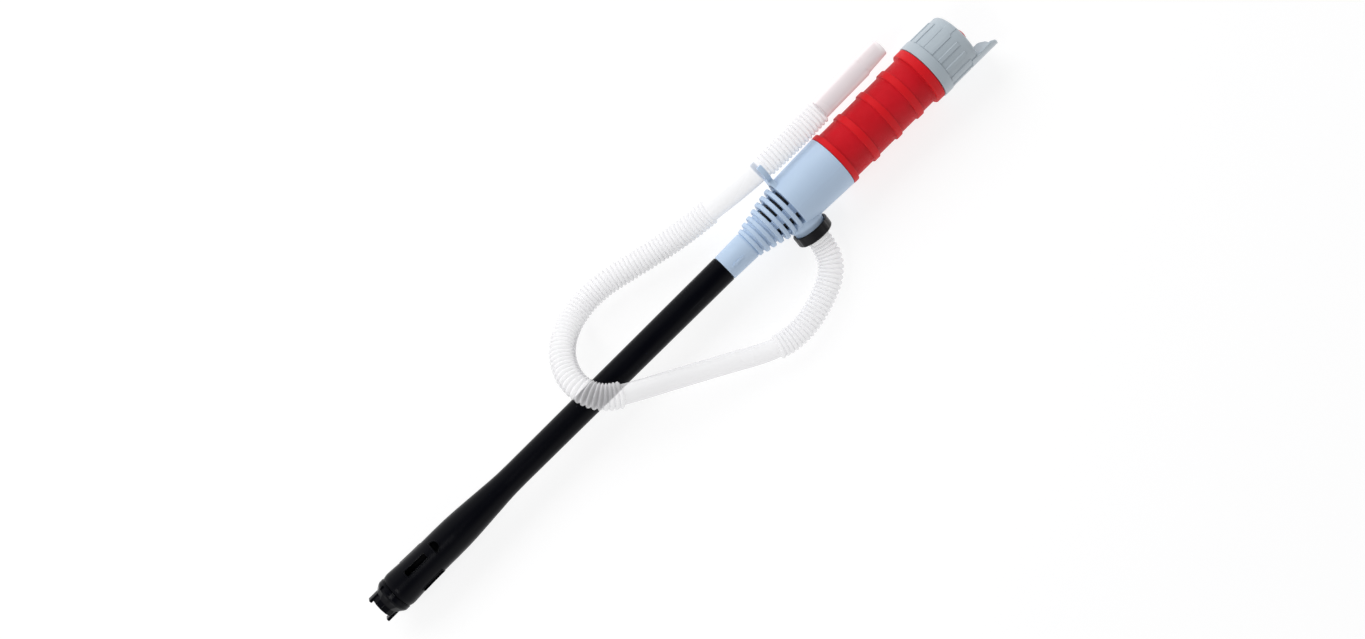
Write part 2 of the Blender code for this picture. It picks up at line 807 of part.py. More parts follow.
def grip_sleeve(wand):
    """The soft sleeve over the battery tube, with five raised rings."""
    outline = []
    for low, high, radius in reversed(GRIP_RINGS):
        outline += [(GRIP_BODY_RADIUS, high), (radius, high - 0.4)]
        outline += [(radius, low + 0.4), (GRIP_BODY_RADIUS, low)]
    outline[0] = (GRIP_RINGS[-1][2] - 0.6, GRIP_TOP)
    outline[-1] = (GRIP_RINGS[0][2], GRIP_LOW)
    bore = BATTERY_TUBE_RADII[1] + GAP
    part(turned("grip_sleeve", [*outline, (bore, GRIP_LOW), (bore, GRIP_TOP)], 36), "red", wand)


def battery(name, low, wand):
    """A D cell, with its nub towards the motor."""
    high = low + BATTERY_LENGTH
    cell = turned(
        name,
        [
            (0.0, high),
            (BATTERY_RADIUS - 1.0, high),
            (BATTERY_RADIUS, high - 1.0),
            (BATTERY_RADIUS, low + NUB_HEIGHT + 1.0),
            (BATTERY_RADIUS - 1.0, low + NUB_HEIGHT),
            (NUB_RADIUS, low + NUB_HEIGHT),
            (NUB_RADIUS, low),
            (0.0, low),
        ],
        32,
    )
    part(cell, "cell", wand)


# ---- end cap ----


def contact_spring(insert):
    """A conical spring from the contact plate to the last cell's flat end."""
    low = BATTERY_START + 2 * BATTERY_LENGTH + 2 * GAP + 0.4
    turns, per_turn = 3, 12
    curve = bpy.data.curves.new("contact_spring", "CURVE")
    curve.dimensions = "3D"
    curve.bevel_depth = 0.45 * MM
    curve.bevel_resolution = 1
    curve.use_fill_caps = True
    spline = curve.splines.new("POLY")
    count = turns * per_turn
    spline.points.add(count)
    for index, point in enumerate(spline.points):
        share = index / count
        radius = (4.0 + 6.0 * share) * MM
        angle = math.tau * turns * share
        point.co = (radius * math.cos(angle), radius * math.sin(angle), (low + 2.2 * share) * MM, 1.0)
    spring = bpy.data.objects.new("contact_spring", curve)
    spring.data.materials.append(make_material("contact_spring", "steel"))
    PARTS.objects.link(spring)
    spring.parent = insert


def wing_shape():
    """The guard that stands on the cap's rim by the button: a curved wall with a rounded outline."""
    outer, inner = WING_RADII
    wall = ring("wing", outer, inner, CAP_TOP - 5.0, TOTAL_LENGTH, 48)
    right = [
        (WING_HALF, CAP_TOP - 6.0),
        *arc((WING_HALF - 4.0, CAP_TOP + 12.0), 4.0, 0.0, 50.0, 4),
        (12.0, CAP_TOP + 17.5),
        (4.8, CAP_TOP + 18.2),
        (4.4, TOTAL_LENGTH + 1.0),
    ]
    outline = [*right, *[(-x, height) for x, height in reversed(right)]]
    upright = Matrix.Translation((0.0, -22.0, 0.0)) @ Matrix.Rotation(math.radians(90.0), 4, "X")
    return combine(wall, prism("wing_outline", outline, 20.0, around(WING_TURN) @ upright), "INTERSECT")


def end_cap(cap_axis):
    """The ribbed screw cap with its flange, its switch guard and a ring that holds the switch."""
    ring_out, ring_in, ring_low = SWITCH_RING
    cap = turned(
        "end_cap",
        [
            (BUTTON_RADIUS + GAP, CAP_TOP - 0.6),
            (9.0, CAP_TOP - 0.6),
            (10.0, CAP_TOP),
            *reversed(arc((18.2, CAP_TOP - 4.6), 4.6, 8.0, 90.0, 4)),
            (CAP_RADIUS, FLANGE_TOP + 0.4),
            (FLANGE_RADIUS, FLANGE_TOP - 0.4),
            (FLANGE_RADIUS, CAP_LOW),
            (CAP_BORE, CAP_LOW),
            (CAP_BORE, CAP_CEILING - 2.5),
            (CAP_BORE - 2.5, CAP_CEILING),
            (ring_out, CAP_CEILING),
            (ring_out, ring_low),
            (ring_in, ring_low),
            (ring_in, CAP_CEILING),
            (BUTTON_RADIUS + GAP, CAP_CEILING),
        ],
        48,
    )
    combine(cap, wing_shape(), "UNION")
    lip = block("wing_lip", (6.4, 3.0, 1.8), (0.0, -WING_RADII[1], TOTAL_LENGTH - 1.0), around(WING_TURN))
    combine(cap, lip, "UNION")
    low, high = RIB_SPAN
    size, centre = (RIB_WIDTH, 2.0, high - low), (0.0, RIB_RADIUS - 1.0, (low + high) / 2)
    ribs = [(size, centre, around(FIRST_RIB + RIB_TURN * count)) for count in range(RIB_COUNT)]
    combine(cap, blocks("ribs", ribs), "UNION")
    part(cap, "grey", cap_axis)


def switch(cap_axis, button_axis):
    """The push switch under the cap's end, and the domed button that stands through it."""
    body_top = CAP_CEILING - 1.8 - BUTTON_TRAVEL - GAP
    part(rod("switch_body", 9.1, body_top - 2.3, body_top, SMALL_STEPS), "white", cap_axis)
    flange_low, flange_top = CAP_CEILING - 1.8, CAP_CEILING - GAP
    button = turned(
        "switch_button",
        [
            (0.0, BUTTON_TOP),
            (3.6, BUTTON_TOP - 0.5),
            (5.8, BUTTON_TOP - 1.7),
            (BUTTON_RADIUS, BUTTON_TOP - 3.4),
            (BUTTON_RADIUS, flange_top),
            (8.6, flange_top),
            (8.6, flange_low),
            (0.0, flange_low),
        ],
        32,
    )
    part(button, "red", button_axis)


def cap_insert(insert):
    plate_low = BATTERY_TUBE_TOP + 0.6
    part(ring("contact_plate", 16.6, 2.0, plate_low, plate_low + 0.5, 32), "brass", insert)
    contact_spring(insert)


def cap_seal(wand):
    """The O-ring on the battery tube, inside the cap's mouth."""
    major, minor = 19.95, 0.8
    section = [(major + x, SEAL_HEIGHT + z) for x, z in arc((0.0, 0.0), minor, 90.0, -210.0, 6)]
    part(turned("cap_seal", section), "seal", wand)


# ---- hose ----


def smooth_curve(points):
    """A natural cubic spline through the points; its parameter is the chord length so far."""
    points = np.array(points, dtype=float)
    knots = np.concatenate([[0.0], np.cumsum(np.linalg.norm(np.diff(points, axis=0), axis=1))])
    steps = np.diff(knots)
    slopes = np.diff(points, axis=0) / steps[:, None]
    count = len(points)
    system = np.eye(count)
    right = np.zeros_like(points)
    for i in range(1, count - 1):
        system[i, i - 1 : i + 2] = steps[i - 1], 2 * (steps[i - 1] + steps[i]), steps[i]
        right[i] = 6 * (slopes[i] - slopes[i - 1])
    bends = np.linalg.solve(system, right)

    def at(place):
        i = int(np.clip(np.searchsorted(knots, place, side="right") - 1, 0, count - 2))
        step, after = steps[i], place - knots[i]
        before = step - after
        curved = (bends[i] * before**3 + bends[i + 1] * after**3) / (6 * step)
        level = (points[i] / step - bends[i] * step / 6) * before
        return curved + level + (points[i + 1] / step - bends[i + 1] * step / 6) * after

    return at, knots


def hose(bench):
    """The discharge hose, ribbed in some stretches and plain in others, as one solid rod."""
    at, knots = smooth_curve(HOSE_ROUTE)
    rows = []
    for first, last, start_radius, end_radius in HOSE_STRETCHES:
        start = knots[first] + (HOSE_STEP if first else 0.0)
        end = knots[last] - (HOSE_STEP if last < len(knots) - 1 else GAP)
        count = max(2, round((end - start) / HOSE_SPACING) + 1)
        for share in np.linspace(0.0, 1.0, count):
            radius = start_radius + (end_radius - start_radius) * share
            rows.append((at(start + (end - start) * share), radius))
    curve = bpy.data.curves.new("hose", "CURVE")
    curve.dimensions = "3D"
    curve.bevel_depth = MM
    curve.bevel_resolution = 2
    curve.use_fill_caps = True
    spline = curve.splines.new("POLY")
    spline.points.add(len(rows) - 1)
    for point, (place, radius) in zip(spline.points, rows):
        point.co = (*(place * MM), 1.0)
        point.radius = radius
    pipe = bpy.data.objects.new("hose", curve)
    curve.materials.append(make_material("hose", "clear"))
    PARTS.objects.link(pipe)
    pipe.parent = bench


def hose_nozzle(bench):
    """The straight, stepped and hollow tip on the hose's end."""
    end, before = Vector(HOSE_ROUTE[-1]), Vector(HOSE_ROUTE[-2])
    direction = Vector((end.x - before.x, *NOZZLE_RISE)).normalized()
    tip = turned(
        "hose_nozzle",
        [
            (6.9, NOZZLE_LENGTH),
            (7.7, 45.5),
            (8.4, 43.5),
            (7.7, 0.0),
            (NOZZLE_BORE, 0.0),
            (NOZZLE_BORE, NOZZLE_LENGTH),
        ],
        SMALL_STEPS,
    )
    place = Matrix.Translation(end * MM) @ direction.to_track_quat("Z", "Y").to_matrix().to_4x4()
    part(tip, "clear", bench, place)


# ---- assembly ----


def lay_down():
    """The matrix that lays the upright wand on the floor and rolls its outlet side down."""
    roll = math.radians(ROLL)
    down = Vector((0.0, math.sin(roll), -math.cos(roll)))
    clip_side = Vector((0.0, math.cos(roll), math.sin(roll)))
    turn = Matrix((down, clip_side, Vector((1.0, 0.0, 0.0)))).transposed().to_4x4()
    return Matrix.Translation((0.0, 0.0, LYING_AXIS_HEIGHT * MM)) @ turn


def stand_on_origin(bench, cord_names):
    """Moves the bench so that the pump, without its hose and nozzle, stands centred on the origin."""
    bpy.context.view_layer.update()
    points = np.array(
        [
            obj.matrix_world @ vertex.co
            for obj in PARTS.objects
            if obj.type == "MESH" and obj.name not in cord_names
            for vertex in obj.data.vertices
        ]
    )
    low, high = points.min(axis=0), points.max(axis=0)
    middle = (low + high) / 2
    bench.matrix_basis = Matrix.Translation((-middle[0], -middle[1], -low[2]))
    bpy.context.view_layer.update()


def main():
    bench = make_empty("bench")
    wand = make_empty("wand_axis", bench, lay_down())
    drive = make_empty("drive_axis", wand)
    insert = make_empty("cap_slide_axis", wand)
    cap_axis = make_empty("cap_turn_axis", insert)
    button_axis = make_empty("button_axis", cap_axis)
    outlet = Matrix.Translation((0.0, 0.0, OUTLET_Z * MM)) @ Matrix.Rotation(
        math.radians(90.0 + OUTLET_LEAN), 4, "X"
    )
    nut_axis = make_empty("nut_axis", wand, outlet)

    intake_foot(wand)
    suction_tube(wand)
    impeller(drive)
    impeller_screw(drive)
    drive_shaft(drive)
    shaft_bushes(wand)
    shaft_coupling(drive)
    pump_housing(wand, outlet)
    flow_chamber(wand, outlet)
    outlet_parts(nut_axis, wand, outlet)
    seals(wand)
    motor(wand, drive)
    battery_tube(wand)
    grip_sleeve(wand)
    battery("lower_battery", BATTERY_START, wand)
    battery("upper_battery", BATTERY_START + BATTERY_LENGTH + GAP, wand)
    cap_insert(insert)
    cap_seal(wand)
    end_cap(cap_axis)
    switch(cap_axis, button_axis)
    hose(bench)
    hose_nozzle(bench)
    for tool in list(CUTTERS.objects):
        tool.parent = wand
    stand_on_origin(bench, {"hose", "hose_nozzle"})


clear_scene()
PARTS = make_collection("transfer_pump")
CUTTERS = make_collection("cutters", hidden=True)
main()
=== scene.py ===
"""The looks of the battery liquid transfer pump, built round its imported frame.

The wand's pieces are drawn in millimetres in the wand's own frame, as in part.py: its axis is Z, the foot's
tips are at 0, the outlet points to -Y and the hose clip to +Y. Angles start at the clip and run
anticlockwise. The hose is drawn on the bench: x from the foot's tips, y from the wand's axis, z from the
floor.
"""

import json
import math

import bmesh
import bpy
import numpy as np
from mathutils import Matrix, Vector


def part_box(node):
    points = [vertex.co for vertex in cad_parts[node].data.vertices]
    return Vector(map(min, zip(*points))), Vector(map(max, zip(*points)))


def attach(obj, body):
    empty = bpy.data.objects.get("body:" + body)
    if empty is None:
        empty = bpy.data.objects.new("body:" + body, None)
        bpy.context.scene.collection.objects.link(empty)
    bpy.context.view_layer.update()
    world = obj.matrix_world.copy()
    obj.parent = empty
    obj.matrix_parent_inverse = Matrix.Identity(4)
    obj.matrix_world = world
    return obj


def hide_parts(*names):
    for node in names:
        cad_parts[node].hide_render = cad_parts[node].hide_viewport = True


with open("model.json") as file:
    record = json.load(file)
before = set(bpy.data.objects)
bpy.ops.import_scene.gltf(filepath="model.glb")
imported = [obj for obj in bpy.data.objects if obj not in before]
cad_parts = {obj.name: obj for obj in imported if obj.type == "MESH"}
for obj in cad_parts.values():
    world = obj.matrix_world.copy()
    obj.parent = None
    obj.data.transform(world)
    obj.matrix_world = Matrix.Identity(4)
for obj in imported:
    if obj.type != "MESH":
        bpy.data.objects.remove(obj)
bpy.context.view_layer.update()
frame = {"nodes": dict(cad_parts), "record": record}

MM = 0.001
ROLL = math.radians(18.0)
AXIS_HEIGHT = 24.0
ARC_STEP = math.radians(16.0)
GAP = 0.3
FOOT_TOP = 20.0
CELL_START, CELL_LENGTH = 468.3, 60.2

foot_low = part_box("intake_foot")[0]
tube_low, tube_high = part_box("battery_tube")
AXIS = Vector((foot_low.x, (tube_low.y + tube_high.y) / 2, (tube_low.z + tube_high.z) / 2))
LAY = Matrix.Translation(AXIS) @ Matrix.Scale(MM, 4) @ Matrix((
    (0.0, 0.0, 1.0, 0.0),
    (math.sin(ROLL), math.cos(ROLL), 0.0, 0.0),
    (-math.cos(ROLL), math.sin(ROLL), 0.0, 0.0),
    (0.0, 0.0, 0.0, 1.0),
))
BENCH = Matrix.Translation(AXIS - Vector((0.0, 0.0, AXIS_HEIGHT * MM))) @ Matrix.Scale(MM, 4)
# Turns a flat outline to face away from the wand's axis
OUTWARD = Matrix.Rotation(math.radians(90.0), 4, "X") @ Matrix.Diagonal((1.0, 1.0, -1.0, 1.0))

# The hose's route and stretches, as in part.py, in millimetres on the bench
HOSE_ROUTE = (
    (427.4, -28.7, 14.6),
    (426.8, -36.2, 12.2),
    (424.9, -44.6, 10.8),
    (421.2, -52.2, 10.3),
    (413.8, -59.5, 10.2),
    (403.2, -65.1, 10.2),
    (391.0, -69.3, 10.2),
    (378.0, -72.2, 10.2),
    (363.5, -72.8, 10.2),
    (347.5, -69.5, 11.2),
    (322.0, -57.0, 16.6),
    (295.5, -42.5, 24.5),
    (269.0, -28.2, 33.6),
    (241.6, -13.1, 42.2),
    (232.6, -6.6, 44.4),
    (226.0, 2.2, 45.0),
    (222.7, 15.2, 42.3),
    (225.4, 30.2, 34.6),
    (233.4, 42.0, 26.4),
    (245.0, 49.9, 18.9),
    (260.4, 54.8, 13.2),
    (278.6, 56.2, 10.9),
    (298.3, 53.6, 10.7),
    (319.2, 48.8, 11.4),
    (340.2, 44.2, 13.8),
    (360.2, 40.5, 18.6),
    (382.5, 37.7, 25.6),
    (407.0, 34.8, 32.0),
    (433.6, 33.2, 35.2),
    (461.5, 32.7, 35.3),
    (491.0, 33.3, 35.3),
)
# First and last route point, radius at each, and whether the stretch is ribbed
HOSE_STRETCHES = (
    (0, 2, 9.0, 9.7, True),
    (2, 9, 9.9, 9.9, True),
    (9, 13, 7.7, 7.7, False),
    (13, 26, 10.3, 10.0, True),
    (26, 28, 8.1, 8.4, False),
    (28, 30, 9.7, 9.8, True),
)
RIB_PITCH = 3.4
RIB_DEPTH = 1.9
RIB_PHASES = (0.0, 0.07, 0.18, 0.33, 0.5, 0.67, 0.82, 0.93)
RIB_FULLNESS = 2.4
PLAIN_STEP = 4.0
STRETCH_GAP = 0.15
HOSE_SIDES = 44
NOZZLE_WAY = Vector((29.5, 1.0, 0.2)).normalized()
NOZZLE_LENGTH = 64.0


# ---- stage ----

FLOOR_GAP = 0.0002


def camera():
    """Looks straight down, turned so that the wand climbs to the right, and a little off centre."""
    data = bpy.data.cameras.new("camera")
    data.lens = 43.5
    data.sensor_width = 36.0
    data.clip_end = 20.0
    data.shift_x, data.shift_y = 0.0182, 0.0180
    turn = math.atan2(0.7029, 0.7113)
    shooter = bpy.data.objects.new("camera", data)
    bpy.context.scene.collection.objects.link(shooter)
    shooter.location = AXIS + Vector((286.0, -5.07, 1221.0)) * MM
    shooter.rotation_euler = (0.0, 0.0, -turn)
    bpy.context.scene.camera = shooter


def soft_light(name, place, aim, size, power, colour=(1.0, 1.0, 1.0), mirrored=True):
    """A rectangular lamp turned to its aim; mirrored says whether glossy surfaces reflect it."""
    data = bpy.data.lights.new(name, "AREA")
    data.shape = "RECTANGLE"
    data.size, data.size_y = size
    data.energy = power
    data.color = colour
    lamp = bpy.data.objects.new(name, data)
    bpy.context.scene.collection.objects.link(lamp)
    lamp.visible_glossy = mirrored
    lamp.location = place
    lamp.rotation_euler = (Vector(aim) - Vector(place)).to_track_quat("-Z", "Y").to_euler()


def surroundings():
    """White light from low all round and little from overhead, as under a light tent with an open top."""
    world = bpy.data.worlds.new("studio")
    world.use_nodes = True
    bpy.context.scene.world = world
    nodes, links = world.node_tree.nodes, world.node_tree.links
    nodes.clear()
    place = nodes.new("ShaderNodeTexCoord")
    split = nodes.new("ShaderNodeSeparateXYZ")
    ramp = nodes.new("ShaderNodeValToRGB")
    background = nodes.new("ShaderNodeBackground")
    output = nodes.new("ShaderNodeOutputWorld")
    ramp.color_ramp.elements[0].position = 0.45
    ramp.color_ramp.elements[0].color = (1.0, 1.0, 1.0, 1.0)
    ramp.color_ramp.elements[1].position = 0.95
    ramp.color_ramp.elements[1].color = (0.03, 0.03, 0.035, 1.0)
    background.inputs["Strength"].default_value = 0.82
    links.new(place.outputs["Generated"], split.inputs["Vector"])
    links.new(split.outputs["Z"], ramp.inputs["Fac"])
    links.new(ramp.outputs["Color"], background.inputs["Color"])
    links.new(background.outputs["Background"], output.inputs["Surface"])


def stage():
    bpy.context.scene.view_settings.view_transform = "Standard"
    surroundings()
    soft_light("key", (0.1, 1.3, 1.1), (0.05, 0.0, 0.0), (1.8, 1.0), 17.0, mirrored=False)
    soft_light("fill", (0.1, -1.4, 0.8), (0.05, 0.0, 0.0), (1.8, 1.0), 1.0, (1.0, 0.985, 0.97))
    soft_light("end", (-0.62, 0.05, 1.0), (-0.3, 0.0, 0.0), (0.35, 0.15), 2.0)
    bm = bmesh.new()
    bmesh.ops.create_grid(bm, x_segments=8, y_segments=8, size=4.0)
    mesh = bpy.data.meshes.new("floor")
    bm.to_mesh(mesh)
    bm.free()
    floor = bpy.data.objects.new("floor", mesh)
    bpy.context.scene.collection.objects.link(floor)
    floor.location.z = -FLOOR_GAP
    paint = Paint("floor", (0.3, 0.3, 0.3), 0.85)
    paint.tint((0.30, 0.30, 0.30), (0.29, 0.29, 0.295), paint.noise(6.0))
    paint.shader.inputs["Emission Color"].default_value = (1.0, 1.0, 1.0, 1.0)
    paint.shader.inputs["Emission Strength"].default_value = 0.77
    mesh.materials.append(paint.material)


# ---- materials ----

# Sockets of a Mix node when it blends colours
MIX_FACTOR, MIX_A, MIX_B, MIX_RESULT = 0, 6, 7, 2
COPPER_BAND = 18.0
BAND_EDGE = 0.2


class Paint:
    """A procedural material in the making: a Principled shader and the nodes that feed it."""

    def __init__(self, name, colour, roughness, metallic=0.0, **values):
        self.material = bpy.data.materials.new(name)
        self.material.use_nodes = True
        self.nodes = self.material.node_tree.nodes
        self.links = self.material.node_tree.links
        self.shader = self.nodes["Principled BSDF"]
        self.shader.inputs["Base Color"].default_value = (*colour, 1.0)
        self.shader.inputs["Roughness"].default_value = roughness
        self.shader.inputs["Metallic"].default_value = metallic
        for socket, value in values.items():
            self.shader.inputs[socket.replace("_", " ")].default_value = value
        self.place = self.nodes.new("ShaderNodeTexCoord").outputs["Object"]

    def feed(self, socket, value):
        """Gives an input a value, or links another node's output to it."""
        if isinstance(value, bpy.types.NodeSocket):
            self.links.new(value, socket)
        else:
            socket.default_value = value

    def add(self, kind, inputs, **settings):
        """Makes a node; an input is a value or another node's output."""
        node = self.nodes.new("ShaderNode" + kind)
        for key, value in settings.items():
            setattr(node, key, value)
        for key, value in inputs.items():
            self.feed(node.inputs[key], value)
        return node

    def noise(self, scale, detail=3.0, stretch=(1.0, 1.0, 1.0)):
        """Noise from 0 to 1, about so many to the metre along each axis."""
        mapped = self.add("Mapping", {"Vector": self.place, "Scale": stretch}).outputs["Vector"]
        return self.add("TexNoise", {"Vector": mapped, "Scale": scale, "Detail": detail}).outputs["Fac"]

    def cells(self, scale, feature="F1"):
        made = self.add("TexVoronoi", {"Vector": self.place, "Scale": scale}, feature=feature)
        return made.outputs["Distance"]

    def ranged(self, value, low, high, to_low=0.0, to_high=1.0, smooth=False):
        """Maps the value from one range to another and clamps it there."""
        inputs = {"Value": value, "From Min": low, "From Max": high, "To Min": to_low, "To Max": to_high}
        kind = "SMOOTHSTEP" if smooth else "LINEAR"
        return self.add("MapRange", inputs, interpolation_type=kind).outputs["Result"]

    def math(self, operation, first, second=0.0):
        return self.add("Math", {0: first, 1: second}, operation=operation).outputs["Value"]

    def mix(self, factor, first, second):
        """A blend of two colours, each a tuple or another node's output."""
        first, second = [(*c, 1.0) if isinstance(c, tuple) else c for c in (first, second)]
        node = self.nodes.new("ShaderNodeMix")
        node.data_type = "RGBA"
        for index, value in ((MIX_FACTOR, factor), (MIX_A, first), (MIX_B, second)):
            self.feed(node.inputs[index], value)
        return node.outputs[MIX_RESULT]

    def tint(self, first, second, factor):
        self.paint(self.mix(factor, first, second))

    def paint(self, colour):
        self.links.new(colour, self.shader.inputs["Base Color"])

    def roughen(self, value, low, high):
        """Roughness from low to high as the value goes from 0.3 to 0.7, where most noise lies."""
        self.links.new(self.ranged(value, 0.3, 0.7, low, high), self.shader.inputs["Roughness"])

    def bump(self, height, distance, strength=1.0):
        """A relief of that depth in metres; further calls add to it."""
        normal = self.shader.inputs["Normal"]
        inputs = {"Height": height, "Distance": distance, "Strength": strength}
        if normal.is_linked:
            inputs["Normal"] = normal.links[0].from_socket
        self.links.new(self.add("Bump", inputs).outputs["Normal"], normal)

    def wand_radius(self):
        """Distance from the wand's axis in millimetres."""
        offset = self.add("VectorMath", {0: self.place, 1: tuple(AXIS)}, operation="SUBTRACT")
        across = (0.0, 1.0 / MM, 1.0 / MM)
        flat = self.add("VectorMath", {0: offset.outputs[0], 1: across}, operation="MULTIPLY")
        return self.add("VectorMath", {0: flat.outputs[0]}, operation="LENGTH").outputs["Value"]


def moulded(name, light, dark, roughness, grain=0.00002, **values):
    """Injection-moulded plastic: faint clouds in its colour, uneven gloss and a fine spark-eroded grain."""
    paint = Paint(name, light, roughness, **values)
    paint.tint(dark, light, paint.ranged(paint.noise(28.0), 0.35, 0.65))
    paint.roughen(paint.noise(120.0, 4.0), roughness - 0.05, roughness + 0.07)
    paint.bump(paint.noise(2600.0, 2.0), grain)
    return paint.material


def black_plastic():
    """Satin black, with a few fine scuffs that run along the wand; the foot is glossier than the tube."""
    paint = Paint("black_plastic", (0.003, 0.003, 0.005), 0.34, Specular_IOR_Level=0.09)
    paint.bump(paint.noise(2600.0, 2.0), 0.00002)
    scuffs = paint.ranged(paint.noise(420.0, 2.0, (0.08, 1.0, 1.0)), 0.70, 0.78)
    paint.tint((0.0016, 0.0018, 0.0035), (0.009, 0.0095, 0.012), scuffs)
    along = paint.add("SeparateXYZ", {"Vector": paint.place}).outputs["X"]
    foot = paint.ranged(along, AXIS.x + FOOT_TOP * MM, AXIS.x + (FOOT_TOP + 0.4) * MM, 0.6, 1.0)
    satin = paint.ranged(paint.noise(140.0, 5.0, (0.3, 1.0, 1.0)), 0.3, 0.7, 0.28, 0.38)
    paint.links.new(paint.math("MULTIPLY", satin, foot), paint.shader.inputs["Roughness"])
    return paint.material


def red_grip():
    """Soft red vinyl with a leather grain between the rings; the rings are smoother, and their lighter red is
    a painted highlight for the light that they catch.
    """
    paint = Paint("red_grip", (0.62, 0.006, 0.010), 0.5, Specular_IOR_Level=0.2)
    ring = paint.ranged(paint.wand_radius(), 21.0, 21.7, smooth=True)
    clouds = paint.ranged(paint.noise(60.0, 4.0), 0.35, 0.65)
    body = paint.mix(clouds, (0.58, 0.005, 0.013), (0.64, 0.007, 0.017))
    # The raised rings get a lighter red than the sleeve: a painted highlight.
    paint.paint(paint.mix(ring, body, (0.67, 0.010, 0.016)))
    creases = paint.cells(900.0, "DISTANCE_TO_EDGE")
    depth = paint.ranged(ring, 0.0, 1.0, 1.0, 0.25)
    leather = paint.math("MULTIPLY", paint.ranged(creases, 0.0, 0.12), depth)
    paint.bump(leather, 0.00012, 0.8)
    paint.bump(paint.noise(2200.0, 3.0), 0.00005)
    paint.roughen(paint.noise(300.0), 0.44, 0.58)
    return paint.material


def hose_plastic(name, clear, milky, tint):
    """Thin natural polyethylene: milky where it is seen on edge, clearer face on, and its far wall unseen."""
    paint = Paint(name, tint, 0.28, Specular_IOR_Level=0.5, IOR=1.5)
    edge = paint.add("LayerWeight", {"Blend": 0.35}).outputs["Facing"]
    back = paint.add("NewGeometry", {}).outputs["Backfacing"]
    near_wall = paint.ranged(back, 0.0, 1.0, 1.0, 0.0)
    wall = paint.math("MULTIPLY", paint.ranged(edge, 0.15, 0.85, clear, milky), near_wall)
    paint.links.new(wall, paint.shader.inputs["Alpha"])
    clouds = paint.ranged(paint.noise(20.0, 1.0), 0.35, 0.65)
    paint.tint(tint, tuple(0.985 * part for part in tint), clouds)
    paint.roughen(paint.noise(20.0, 1.0), 0.24, 0.28)
    return paint.material


def metal(name, light, dark, roughness, stretch=(0.1, 1.0, 1.0)):
    """Drawn or turned metal with fine lines."""
    paint = Paint(name, light, roughness, metallic=1.0)
    lines = paint.noise(3000.0, 3.0, stretch)
    paint.tint(dark, light, paint.ranged(lines, 0.3, 0.7))
    paint.roughen(lines, roughness - 0.06, roughness + 0.08)
    paint.bump(lines, 0.00001)
    return paint.material


def cell_case():
    """A cell's printed steel jacket: dark, with a copper band at its positive end."""
    paint = Paint("cell_case", (0.05, 0.055, 0.07), 0.3, metallic=0.7)
    along = paint.add("SeparateXYZ", {"Vector": paint.place}).outputs["X"]

    def past(height, edge):
        """0 below that height on the wand and 1 above it."""
        return paint.ranged(along, AXIS.x + height * MM, AXIS.x + (height + edge) * MM)

    middle = CELL_START + CELL_LENGTH
    first = paint.math("SUBTRACT", 1.0, past(CELL_START + COPPER_BAND, BAND_EDGE))
    second = paint.math("SUBTRACT", past(middle + GAP, 0.01), past(middle + COPPER_BAND, BAND_EDGE))
    copper = paint.math("MAXIMUM", first, second)
    clouds = paint.mix(paint.noise(90.0), (0.040, 0.045, 0.060), (0.055, 0.060, 0.075))
    paint.paint(paint.mix(copper, clouds, (0.62, 0.30, 0.13)))
    paint.roughen(paint.noise(200.0, 4.0), 0.24, 0.36)
    paint.bump(paint.noise(900.0), 0.00002)
    return paint.material


FINISHES = {
    "black_plastic": black_plastic(),
    "inner_black_plastic": moulded("inner_black_plastic", (0.015, 0.015, 0.017), (0.010, 0.010, 0.012), 0.5),
    "nut_plastic": moulded(
        "nut_plastic", (0.006, 0.006, 0.008), (0.004, 0.004, 0.005), 0.30, Specular_IOR_Level=0.25
    ),
    "blue_plastic": moulded("blue_plastic", (0.49, 0.62, 0.79), (0.47, 0.595, 0.765), 0.42),
    "red_grip": red_grip(),
    "grey_plastic": moulded("grey_plastic", (0.45, 0.512, 0.56), (0.42, 0.482, 0.53), 0.34, 0.00003),
    "button_plastic": moulded("button_plastic", (0.62, 0.012, 0.018), (0.55, 0.010, 0.014), 0.35),
    "white_plastic": moulded("white_plastic", (0.78, 0.78, 0.75), (0.72, 0.72, 0.69), 0.45),
    "hose_plastic": hose_plastic("hose_plastic", 0.46, 0.92, (0.87, 0.865, 0.885)),
    # The nozzle's pink tint is a painted reflection of the red grip beside it, on clear natural plastic.
    "nozzle_plastic": hose_plastic("nozzle_plastic", 0.72, 0.96, (0.92, 0.84, 0.86)),
    "steel": metal("steel", (0.62, 0.62, 0.63), (0.50, 0.50, 0.51), 0.3),
    "brass": metal("brass", (0.78, 0.58, 0.26), (0.62, 0.45, 0.18), 0.3),
    "magnet": moulded("magnet", (0.055, 0.055, 0.060), (0.035, 0.035, 0.040), 0.6, 0.00006),
    "seal_rubber": moulded("seal_rubber", (0.022, 0.022, 0.022), (0.015, 0.015, 0.015), 0.62, 0.00004),
    "cell_case": cell_case(),
}


def piece(shape, body, slot, *stands_for):
    """Gives a shape its finish and its body, and hides the CAD nodes that it stands for."""
    shape.data.materials.clear()
    shape.data.materials.append(FINISHES[slot])
    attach(shape, body)
    if stands_for:
        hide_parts(*stands_for)
    return shape


# ---- drawing ----

# The share of a flat that a fillet may take, and the turn in radians below which a corner is left alone
CORNER_ROOM, STRAIGHT = 0.45, 0.02
# How far beside an arc its supporting points lie
SUPPORT, SUPPORT_SHARE = 0.25, 0.3
WELD = 1e-4
SHARP_ANGLE = 32.0


def new_object(name, mesh):
    made = bpy.data.objects.new(name, mesh)
    bpy.context.scene.collection.objects.link(made)
    return made


